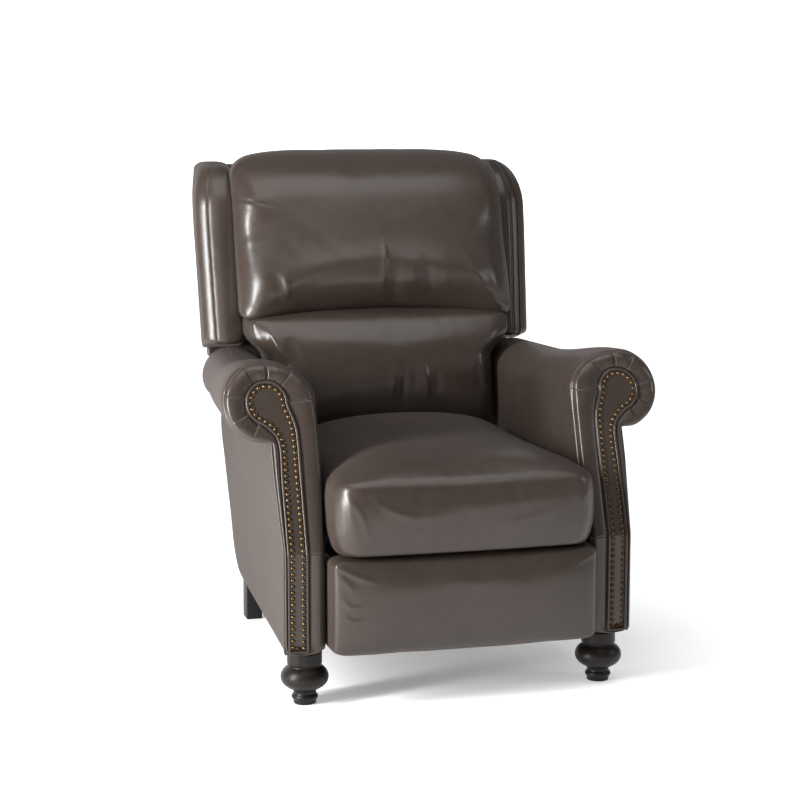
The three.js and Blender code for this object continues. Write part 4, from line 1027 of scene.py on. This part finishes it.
# %% [markdown]
# ## Cushions
# A cushion is two leather panels sewn to a boxing strip, stuffed until it crowns. It is laid out as a grid
# so the seams stay clean lines: a front, a back and a strip between. Then it is blown up a little as cloth,
# with the seams held, so the leather swells between them as a stuffed cover does. Most of the fine puckers
# of that cloth are smoothed away again, and the folds of the photograph are pressed in one by one.


# %% Cushion helpers
def rounded(a, b, corner):
    """Turns a square grid from -1 to 1 into one with rounded corners."""
    reach = np.maximum(np.abs(a), np.abs(b))
    safe = np.where(reach > 0, reach, 1)
    ea, eb = np.abs(a) / safe, np.abs(b) / safe
    inside = 1 - corner
    over_a, over_b = np.maximum(ea - inside, 0), np.maximum(eb - inside, 0)
    both = (over_a > 0) & (over_b > 0)
    # Along the ray through (ea, eb): where it crosses the corner's circle
    ray = ea**2 + eb**2
    half = (ea + eb) * inside
    root = np.sqrt(np.maximum(half**2 - ray * (2 * inside**2 - corner**2), 0))
    scale = np.where(both, (half + root) / ray, 1)
    scale = np.minimum(scale, 1)
    share = mix(1, scale, reach**4)
    return a * share, b * share


def cushion_grid(name, columns, rows, strips, corner, at, bulge):
    """A closed cushion. At(a, b, side) gives its points, with side from 0 at the rear to 1 at the front's
    seam; at(a, b, None) gives the crowned front. Bulge(a, b) is how far the strip swells outwards.
    Returns the object, each point's side, and the loops of points from the front's seam to the rear's."""
    aa, bb = np.meshgrid(np.linspace(-1, 1, columns), np.linspace(-1, 1, rows))
    a, b = rounded(aa.ravel(), bb.ravel(), corner)
    near, far = at(a, b, None), at(a, b, 0.0)
    count = rows * columns
    rim = list(range(columns)) + [r * columns + columns - 1 for r in range(1, rows)]
    rim += [(rows - 1) * columns + c for c in range(columns - 2, -1, -1)]
    rim += [r * columns for r in range(rows - 2, 0, -1)]
    rim = np.array(rim)
    points, shares = [near, far], [np.ones(count), np.zeros(count)]
    centre = near[rim].mean(0)
    across = near[rim] - far[rim]
    across /= np.linalg.norm(across, axis=1)[:, None]
    along = np.roll(near[rim], -1, 0) - np.roll(near[rim], 1, 0)
    outward = np.cross(along, across)
    outward /= np.linalg.norm(outward, axis=1)[:, None]
    outward *= np.sign(np.sum(outward * (near[rim] - centre), axis=1))[:, None]
    for k in range(1, strips):
        t = k / strips
        puff = bulge(a[rim], b[rim]) * math.sin(math.pi * t) ** 0.7
        points.append(at(a[rim], b[rim], 1 - t) + outward * puff[:, None])
        shares.append(np.full(len(rim), 1 - t))
    faces = grid_faces(rows, columns) + [face[::-1] for face in grid_faces(rows, columns, start=count)]
    between = [2 * count + (k - 1) * len(rim) + np.arange(len(rim)) for k in range(1, strips)]
    loops = [rim, *between, rim + count]
    for upper, lower in zip(loops, loops[1:]):
        for i in range(len(rim)):
            j = (i + 1) % len(rim)
            faces.append([upper[i], upper[j], lower[j], lower[i]])
    made = point_outwards(piece_from(name, np.vstack(points), faces, COVER))
    return made, np.concatenate(shares), loops


def crown_share(a, b):
    """How high a cushion's face stands at a place in its outline, as a share of its crown."""
    return np.clip((1 - a**4) * (1 - b**4), 0, 1) ** 0.75


def pillow_share(a, b):
    """The same for a soft pillow: its flanks rise in a round of about 50 mm, then it crowns slowly."""
    flank = np.sin(np.pi / 2 * np.clip((1 - np.abs(a)) / 0.16, 0, 1))
    return (0.58 * flank + 0.42 * (1 - a * a)) * np.clip(1 - b**4, 0, 1) ** 0.88


CLOTH_FRAMES, CLOTH_SHRINK, CALMING_STEPS, PUCKERS_KEPT = 20, -0.02, 24, 0.12


def swell(made, held, pressure, cap, sideways=0.8):
    """Blows the cover up as cloth. Held is each point's grip, 1 where it is sewn or rests on something; cap
    is the most that a point may move, and sideways the most that it may move towards an arm."""
    before = points_of(made)
    group = made.vertex_groups.new(name="held")
    for i, grip in enumerate(held):
        if grip > 0:
            group.add([i], float(grip), "REPLACE")
    cloth = made.modifiers.new("swell", "CLOTH")
    settings = cloth.settings
    settings.quality = 6
    settings.mass = 0.4
    settings.tension_stiffness = settings.compression_stiffness = settings.shear_stiffness = 18
    settings.bending_stiffness = 0.6
    settings.use_pressure = True
    settings.uniform_pressure_force = pressure
    settings.shrink_min = CLOTH_SHRINK
    settings.vertex_group_mass = "held"
    settings.pin_stiffness = 1.0
    settings.effector_weights.gravity = 0
    cloth.collision_settings.use_collision = False
    cloth.point_cache.frame_start, cloth.point_cache.frame_end = 1, CLOTH_FRAMES
    for step in range(1, CLOTH_FRAMES + 1):
        bpy.context.scene.frame_set(step)
    apply_modifiers(made)
    made.vertex_groups.clear()
    moved = points_of(made) - before
    # The photograph's leather puckers less than this cloth, so most of the movement's fine part goes
    pairs = np.empty(len(made.data.edges) * 2, np.int32)
    made.data.edges.foreach_get("vertices", pairs)
    pairs = pairs.reshape(-1, 2)
    number = np.bincount(pairs.ravel(), minlength=len(moved))[:, None]
    calm = moved.copy()
    for _ in range(CALMING_STEPS):
        total = np.zeros_like(calm)
        for axis in range(3):
            total[:, axis] = (np.bincount(pairs[:, 0], calm[pairs[:, 1], axis], len(calm))
                              + np.bincount(pairs[:, 1], calm[pairs[:, 0], axis], len(calm)))
        calm = total / number
    moved = mix(calm, moved, PUCKERS_KEPT)
    length = np.linalg.norm(moved, axis=1)
    scale = np.where(length > 0, cap * np.tanh(length / cap) / np.maximum(length, 1e-9), 0)
    moved *= scale[:, None]
    # The arms hold a cushion at its sides, so it can swell only a little there
    hand = np.sign(before[:, 0])
    moved[:, 0] = hand * np.minimum(hand * moved[:, 0], sideways)
    put_points(made, before + moved)
    bpy.context.scene.frame_set(1)
    print(made.name, "swelled by up to", round(float(length.max()), 1), "mm")
    return made


def crease_seam(made, loops, depth):
    """Draws the leather in along the front's seam, as the stitches do."""
    points, normals = points_of(made), normals_of(made)
    points[loops[0]] -= normals[loops[0]] * depth
    put_points(made, points)


def fold(made, folds, keep=None):
    """Lays folds into the leather. Each is a path of (x, z), a height (below 0 for a dent), a width, and a
    slant from -1 to 1 that makes one flank steeper."""
    points, normals = points_of(made), normals_of(made)
    front = np.clip((-normals[:, 1] - 0.1) / 0.4, 0, 1) if keep is None else keep(points, normals)
    change = np.zeros(len(points))
    flat = points[:, [0, 2]]
    for path, height, width, slant in folds:
        path = spline(path, np.linspace(0, len(path) - 1, 4 * len(path)))
        best, signed, where = np.full(len(points), 1e9), np.zeros(len(points)), np.zeros(len(points))
        gone, total = 0.0, np.linalg.norm(np.diff(path, axis=0), axis=1).sum()
        for p, q in zip(path, path[1:]):
            run = q - p
            long = np.linalg.norm(run)
            t = np.clip(((flat - p) @ run) / long**2, 0, 1)
            off = flat - p - t[:, None] * run
            away = np.linalg.norm(off, axis=1)
            hand = np.sign(run[0] * off[:, 1] - run[1] * off[:, 0])
            near = away < best
            best, where = np.where(near, away, best), np.where(near, (gone + t * long) / total, where)
            signed = np.where(near, away * hand, signed)
            gone += long
        ends = np.sin(np.pi * np.clip(where, 0.03, 0.97)) ** 0.6
        rest = signed / width
        change += ends * height * np.exp(-(rest**2)) * (1 + slant * 1.4 * rest)
    put_points(made, points + normals * (change * front)[:, None])
    return made


print("cushion helpers ready")

# %% [markdown]
# ### Seat cushion
# The seat is one boxed cushion that fills the space between the arms, with a domed top that rises to the
# back and a front that bows forward a little. Its plan narrows to the back with the arms.

# %% Seat cushion
SEAT = {"front": -106, "rear": 489, "low": 311, "edge": 452, "crown": 40, "lift": 34, "bow": 9}


def seat_at(a, b, side):
    height = 1.0 if side is None else side
    inset = np.interp(height, [0, 0.08, 0.3, 0.75, 0.95, 1], [0.955, 0.975, 0.994, 0.996, 0.986, 0.972])
    middle, half_deep = (SEAT["rear"] + SEAT["front"]) / 2, (SEAT["rear"] - SEAT["front"]) / 2
    bow = np.where(b < 0, SEAT["bow"] * (1 - a * a), 0)
    x = a * mix(269, 251, (b + 1) / 2) * inset
    y = middle + b * half_deep * mix(1, inset, 0.6) - bow
    z = SEAT["low"] + SMALL_GAP + (SEAT["edge"] - SEAT["low"] - 2) * height
    z = z + SEAT["lift"] * (1 - a * a) * np.maximum(0, b) ** 2 * height**3
    if side is None:
        z = z + SEAT["crown"] * crown_share(a, b)
    return np.column_stack([x, y, z + 0 * x])


SEAT_FOLDS = [
    ([(-251, 438), (-232, 411), (-220, 388), (-207, 347)], 1.7, 7, 0.3),
    ([(-242, 428), (-240, 398), (-236, 366)], 1.2, 6, 0),
    ([(-199, 431), (-164, 401), (-105, 382), (-45, 387)], 1.6, 9, 0.5),
    ([(-150, 396), (-65, 398), (16, 404), (130, 412), (215, 420)], 2.4, 20, 0),
    ([(60, 362), (120, 372), (190, 392)], 1.2, 10, 0.4),
    ([(248, 436), (236, 412), (222, 380)], 1.2, 8, -0.3),
]
seat, share, loops = cushion_grid("seat_cover", columns=72, rows=78, strips=18, corner=0.17, at=seat_at,
                                  bulge=lambda a, b: np.where(b < -0.5, 4.0, 1.0))
held = np.where(share == 0, 1.0, 0.0)
held[loops[0]] = 0.4
swell(seat, held, pressure=3.0, cap=9.0)
crease_seam(seat, loops, depth=1.3)
refine(seat)
fold(seat, SEAT_FOLDS, lambda points, normals: np.clip((-normals[:, 1] - 0.5) / 0.3, 0, 1))
dress(seat, "seat", "leather", "seat_cushion", fill=0.8)
print("seat cover:", len(seat.data.polygons), "faces")

# %% [markdown]
# ### Back cushions
# The back has two: a low one for the lumbar and a large one for the head, whose lower edge arches over it.
# Both are boxed, thin at the seams and deep in the middle, and they lean with the back. The two share
# one recipe, because only the outlines and the depths differ.


# %% Back cushions
def back_cushion(name, form, columns, rows, strips, cap, folds):
    middle, half = (form["top"] + form["low"]) / 2, (form["top"] - form["low"]) / 2

    def at(a, b, side):
        level = 1.0 if side is None else side
        up = (b + 1) / 2
        fall = form["shoulder"] * np.abs(a) ** form["power"] * up
        fall = fall + form["rear_fall"] * (1 - level) ** 2 * up**4
        z = middle + b * half + form["arch"] * (1 - a * a) * (1 - up) - fall
        tuck = form["tuck"] * (1 - share_of(level, 0.3, 0.8))
        flare = form["flare"] * ease((z - form["flare_from"]) / form["flare_run"])
        wide = mix(form["half_low"], form["half_top"], up) - tuck + flare
        rear = back_rear(z) - mix(95, BACK_THICK + 0.5, ease((z - 1014) / 24))
        roll = form["roll"] * np.clip((up - 0.72) / 0.28, 0, 1) ** 2
        seam = form["seam"] + (z - form["low"]) * form["run"] + roll
        y = mix(rear, seam, level)
        if side is None:
            thin = (1 - form["top_thin"] * up) * (1 - form["low_thin"] * (1 - up) ** 2)
            y = y - form["crown"] * pillow_share(a, b) * thin
            y = y - form["belly"] * (1 - a**4) * np.exp(-(((up - 0.2) / 0.14) ** 2))
        return np.column_stack([a * wide, y, z])

    made, share, loops = cushion_grid(name, columns, rows, strips, form["corner"], at,
                                      lambda a, b: np.full_like(a, form["bulge"]))
    held = np.where(share == 0, 1.0, 0.0)
    held[loops[0]] = 0.35
    swell(made, held, pressure=3.0, cap=cap)
    crease_seam(made, loops, depth=0.9)
    refine(made)
    return fold(made, folds)


LUMBAR = {"low": 446, "top": 713, "half_low": 252, "half_top": 252, "corner": 0.09, "seam": 520,
          "run": BACK_LEAN * 0.75, "crown": 60, "top_thin": 0.2, "low_thin": 0.5, "arch": 0, "shoulder": 10,
          "power": 2, "tuck": 0, "flare": 46, "flare_from": 606, "flare_run": 66, "roll": 0,
          "rear_fall": 0, "bulge": 2.5, "belly": 5}
HEAD = {"low": 691, "top": 1070, "half_low": 316, "half_top": 312, "corner": 0.16, "seam": 591,
        "run": BACK_LEAN * 1.15, "crown": 72, "top_thin": 0.45, "low_thin": 0, "arch": 32, "shoulder": 27,
        "power": 5, "tuck": 25, "flare": 0, "flare_from": 1070, "flare_run": 9, "roll": 46,
        "rear_fall": 26, "bulge": 2, "belly": 14}
LUMBAR_FOLDS = [
    ([(-264, 682), (-253, 656), (-244, 636), (-232, 612)], 4.2, 4.5, 0.2),
    ([(-250, 678), (-242, 656), (-233, 636), (-224, 608)], 3.4, 4, -0.2),
    ([(-278, 672), (-265, 648), (-252, 622), (-244, 596)], -5.5, 10, 0),
    ([(-222, 670), (-214, 640), (-205, 606)], -3.0, 12, 0),
    ([(5, 600), (5, 572), (3, 545), (0, 522)], 2.2, 7, 0),
    ([(27, 606), (28, 576), (27, 548), (25, 526)], -3.2, 8, 0.5),
    ([(52, 600), (54, 572), (54, 544)], -1.8, 10, 0),
    ([(77, 612), (81, 582), (85, 552), (88, 524)], 3.0, 8, -0.5),
    ([(104, 596), (108, 570), (110, 540)], -1.8, 10, 0),
    ([(214, 608), (219, 578), (226, 546), (231, 516)], 2.4, 7, 0.3),
    ([(203, 596), (208, 568), (214, 538)], -2.0, 8, 0),
    ([(-206, 556), (-118, 566), (19, 576), (135, 580), (215, 586)], 5.5, 32, 0),
]
HEAD_FOLDS = [
    ([(-308, 965), (-281, 961), (-256, 956), (-228, 949)], -1.4, 2.2, 0.3),
    ([(-254, 812), (-244, 794), (-237, 774), (-235, 756)], -4.2, 13, 0),
    ([(-224, 804), (-218, 784), (-216, 766), (-218, 750)], 2.5, 7, -0.3),
    ([(-292, 952), (-293, 898), (-294, 833), (-297, 768), (-294, 725)], 5.0, 17, 0),
    ([(-300, 712), (-272, 714), (-243, 721), (-196, 728)], 2.6, 7, 0),
    ([(-240, 905), (-210, 866), (-180, 836)], 0.7, 12, 0.3),
    ([(-206, 931), (-135, 876), (-71, 829)], 0.5, 14, 0.3),
    ([(4, 872), (8, 850), (6, 822), (3, 798), (0, 772)], 3.0, 7, -0.4),
    ([(24, 836), (27, 806), (28, 776), (27, 752)], -3.4, 15, 0.3),
    ([(66, 826), (70, 800), (72, 770)], 2.4, 12, 0),
    ([(96, 826), (103, 804), (108, 782), (116, 758)], -3.2, 13, 0.4),
    ([(140, 826), (150, 798), (156, 768)], 2.0, 14, 0),
    ([(200, 828), (229, 782), (250, 742)], 2.2, 10, 0.4),
    ([(262, 736), (282, 724), (300, 716)], 1.8, 7, 0),
    ([(292, 940), (294, 880), (297, 820), (302, 760)], 2.0, 12, 0),
]
lumbar = back_cushion("lumbar_cover", LUMBAR, columns=72, rows=40, strips=12, cap=7.0, folds=LUMBAR_FOLDS)
dress(lumbar, "back", "leather", "lumbar_cushion", fill=0.7)
pillow = back_cushion("head_cover", HEAD, columns=92, rows=58, strips=16, cap=8.0, folds=HEAD_FOLDS)
dress(pillow, "back", "leather", "head_cushion", fill=0.65)
print("back cushions:", len(lumbar.data.polygons), len(pillow.data.polygons), "faces")

# %% [markdown]
# ### Footrest pad
# Folded away, the footrest is the panel under the seat: a padded front with boxed sides over a board.
# It is the same kind of cushion, standing with its back against the board.


# %% Footrest pad
PAD_REAR, PAD_THICK, PAD_CROWN, PAD_REACH_BACK, PAD_DROOP = -34.3, 58.0, 18.0, 17.0, 3.0
PAD_HALF_WIDE, PAD_MIDDLE, PAD_HALF_HIGH = 273.6, 209.0, 95.0


def pad_at(a, b, side):
    level = 1.0 if side is None else side
    inset = np.interp(level, [0, 0.1, 0.8, 1], [0.998, 1.0, 0.996, 0.984])
    # At its sides the leather reaches back over the board's edge
    at_side = np.clip((np.abs(a) - 0.94) / 0.03, 0, 1)
    y = PAD_REAR - PAD_THICK * level + PAD_REACH_BACK * (1 - level) * at_side
    if side is None:
        y = y - PAD_CROWN * crown_share(a, b)
    droop = PAD_DROOP * (1 - a * a) * np.clip(-b, 0, 1) ** 2
    z = PAD_MIDDLE + b * PAD_HALF_HIGH * inset - droop
    return np.column_stack([a * PAD_HALF_WIDE * inset, y + 0 * a, z])


PAD_FOLDS = [
    ([(-270, 297), (-252, 286), (-222, 271), (-196, 262)], 2.4, 6, 0.3),
    ([(-262, 276), (-248, 262), (-232, 240)], 1.5, 6, 0),
    ([(-258, 232), (-241, 212), (-216, 216)], 1.4, 5, 0.3),
    ([(-258, 199), (-237, 184), (-214, 189)], 1.4, 5, 0.3),
    ([(270, 297), (252, 286), (222, 274)], 1.8, 6, 0),
    ([(-60, 262), (10, 250), (90, 256)], 1.2, 16, 0),
    ([(-180, 150), (-60, 140), (80, 142), (190, 150)], 1.6, 16, 0),
]
footpad, share, loops = cushion_grid("footrest_cover", columns=76, rows=34, strips=10, corner=0.11,
                                     at=pad_at, bulge=lambda a, b: np.full_like(a, 0.2))
held = np.where(share == 0, 1.0, 0.0)
held[loops[0]] = 0.4
swell(footpad, held, pressure=2.5, cap=6.0, sideways=0.1)
crease_seam(footpad, loops, depth=1.2)
refine(footpad)
fold(footpad, PAD_FOLDS)
dress(footpad, "footrest", "leather", "footrest_pad", fill=0.75)
print("footrest cover:", len(footpad.data.polygons), "faces")

# %% [markdown]
# ## Timber, and solids that keep their shape
# The timber frame and the rear legs are right as solids, but no joiner leaves an edge sharp enough to cut,
# so each gets a copy with eased edges. The mechanism, the bolts and the straps keep their shape and only
# get their finish.

# %% Eased timber and the remaining finishes
# The rails seen in the gaps get the timber darkened as painted shade
TIMBER = {"rear_leg_right": ("frame", ESPRESSO, 2.5), "rear_leg_left": ("frame", ESPRESSO, 2.5),
          "rear_panel": ("frame", COVER, 4.0), "cross_rail": ("frame", PAINTED_SHADE_TIMBER, 1.5),
          "rail_packer_right": ("frame", PAINTED_SHADE_TIMBER, 1.2), "rail_packer_left": ("frame", PAINTED_SHADE_TIMBER, 1.2),
          "seat_front_rail": ("seat", PAINTED_SHADE_TIMBER, 1.2), "seat_rear_rail": ("seat", RAW_WOOD, 1.2),
          "seat_side_rail_right": ("seat", PAINTED_SHADE_TIMBER, 1.2), "seat_side_rail_left": ("seat", PAINTED_SHADE_TIMBER, 1.2),
          "footrest_board": ("footrest", PAINTED_SHADE_TIMBER, 1.5), "back_post_right": ("back", RAW_WOOD, 1.5),
          "back_post_left": ("back", RAW_WOOD, 1.5), "back_lower_rail": ("back", RAW_WOOD, 1.5),
          "back_middle_rail": ("back", RAW_WOOD, 1.5), "back_top_rail": ("back", RAW_WOOD, 1.5)}
SLOTS = {ESPRESSO: "dark_wood", COVER: "leather", RAW_WOOD: "frame_wood", PAINTED_SHADE_TIMBER: "frame_wood"}
for node, (body, finish, width) in TIMBER.items():
    dress(softened(node + "_eased", node, finish, width), body, SLOTS[finish], node)
words = {"foot_bolt": ZINC, "link_tube": ZINC, "glide_shoe": NYLON, "back_web": WEBBING}
for name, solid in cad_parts.items():
    finish = next((finish for word, finish in words.items() if word in name), PAINTED_STEEL)
    solid.data.materials.clear()
    solid.data.materials.append(finish)
print("eased", len(TIMBER), "solids, finished", len(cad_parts))

# %% [markdown]
# ## Light and camera
# The photograph is a catalogue view on a white sweep, seen through a long lens a little above the arms.
# A tall strip of light stands on the left, a wide one hangs overhead, and a small one fills from the right.
# The lights are areas, so the leather shows broad, soft highlights rather than sparks.


# %% Floor, lights and camera
# A weaker glow near the chair paints shade on the floor round it; this is its share of the full glow
GLOW_IN_PAINTED_SHADE = 0.42


def paper(name, glow):
    """White paper with a glow of its own, so that it stays as white as in the photograph."""
    sheet = Finish(name, Specular_IOR_Level=0.2, Emission_Strength=glow)
    haze = sheet.noise(sheet.place(), 3.0, 2.0)
    sheet.feed("Base Color", sheet.between((0.9, 0.9, 0.9, 1), (0.93, 0.93, 0.93, 1), haze))
    # The glow keeps the paper white; near the chair it is weaker, which paints shade on the floor round the
    # chair so that the shadow stays visible
    away = sheet.node("ShaderNodeVectorMath", {"operation": "LENGTH"}, {"Vector": sheet.place()})["Value"]
    dim, full = (*[GLOW_IN_PAINTED_SHADE] * 3, 1), (1, 1, 1, 1)
    sheet.feed("Emission Color", sheet.between(dim, full, sheet.spread(away, 0.35, 1.0)))
    sheet.feed("Roughness", haze * 0.1 + 0.75)
    return sheet.material


def area_light(name, place, aim, wide, high, watts):
    lamp = bpy.data.lights.new(name, "AREA")
    lamp.shape, lamp.size, lamp.size_y, lamp.energy = "RECTANGLE", wide, high, watts
    made = add_object(name, lamp)
    made.location = place
    made.rotation_euler = (Vector(aim) - Vector(place)).to_track_quat("-Z", "Y").to_euler()


FLOOR, WALL_Y, WALL_HALF, WALL_LOW, WALL_HIGH = 40000, 9000, 9000, -10, 7000
floor = piece_from("floor", [[-FLOOR, -FLOOR, 0], [FLOOR, -FLOOR, 0], [FLOOR, FLOOR, 0], [-FLOOR, FLOOR, 0]],
                   [[0, 1, 2, 3]], paper("white_floor", glow=0.6), smooth=False)
wall = [[x, WALL_Y, z] for z in (WALL_LOW, WALL_HIGH) for x in (-WALL_HALF, WALL_HALF)]
backdrop = piece_from("backdrop", wall, [[0, 2, 3, 1]], paper("white_backdrop", glow=0.9), smooth=False)
world = bpy.data.worlds.new("studio")
world.use_nodes = True
sky = world.node_tree.nodes["Background"].inputs
sky["Color"].default_value, sky["Strength"].default_value = (1, 1, 1, 1), 0.2
bpy.context.scene.world = world
bpy.context.scene.view_settings.view_transform = "Standard"
area_light("key", (-2.95, -1.25, 1.3), aim=(0, 0, 0.75), wide=0.45, high=2.2, watts=215)
area_light("top", (0, -0.7, 3.6), aim=(0, 0, 0.5), wide=3.0, high=2.4, watts=52)
area_light("fill", (2.9, -1.5, 1.7), aim=(0, 0, 0.7), wide=0.7, high=1.2, watts=12)
# Fitted to the photograph: the lens, and how far the camera looks down and to the right, in degrees
LENS, LOOKS_DOWN, LOOKS_RIGHT = 90.35, 8.5945, 15.2817
lens = bpy.data.cameras.new("photograph")
lens.lens, lens.sensor_width = LENS, 36
camera = add_object("photograph", lens)
camera.location = (-1.1465, -3.779 + SHIFT, 1.1931)
camera.rotation_euler = (math.radians(90 - LOOKS_DOWN), 0, math.radians(-LOOKS_RIGHT))
bpy.context.scene.camera = camera
print("camera at", tuple(round(v, 3) for v in camera.location))
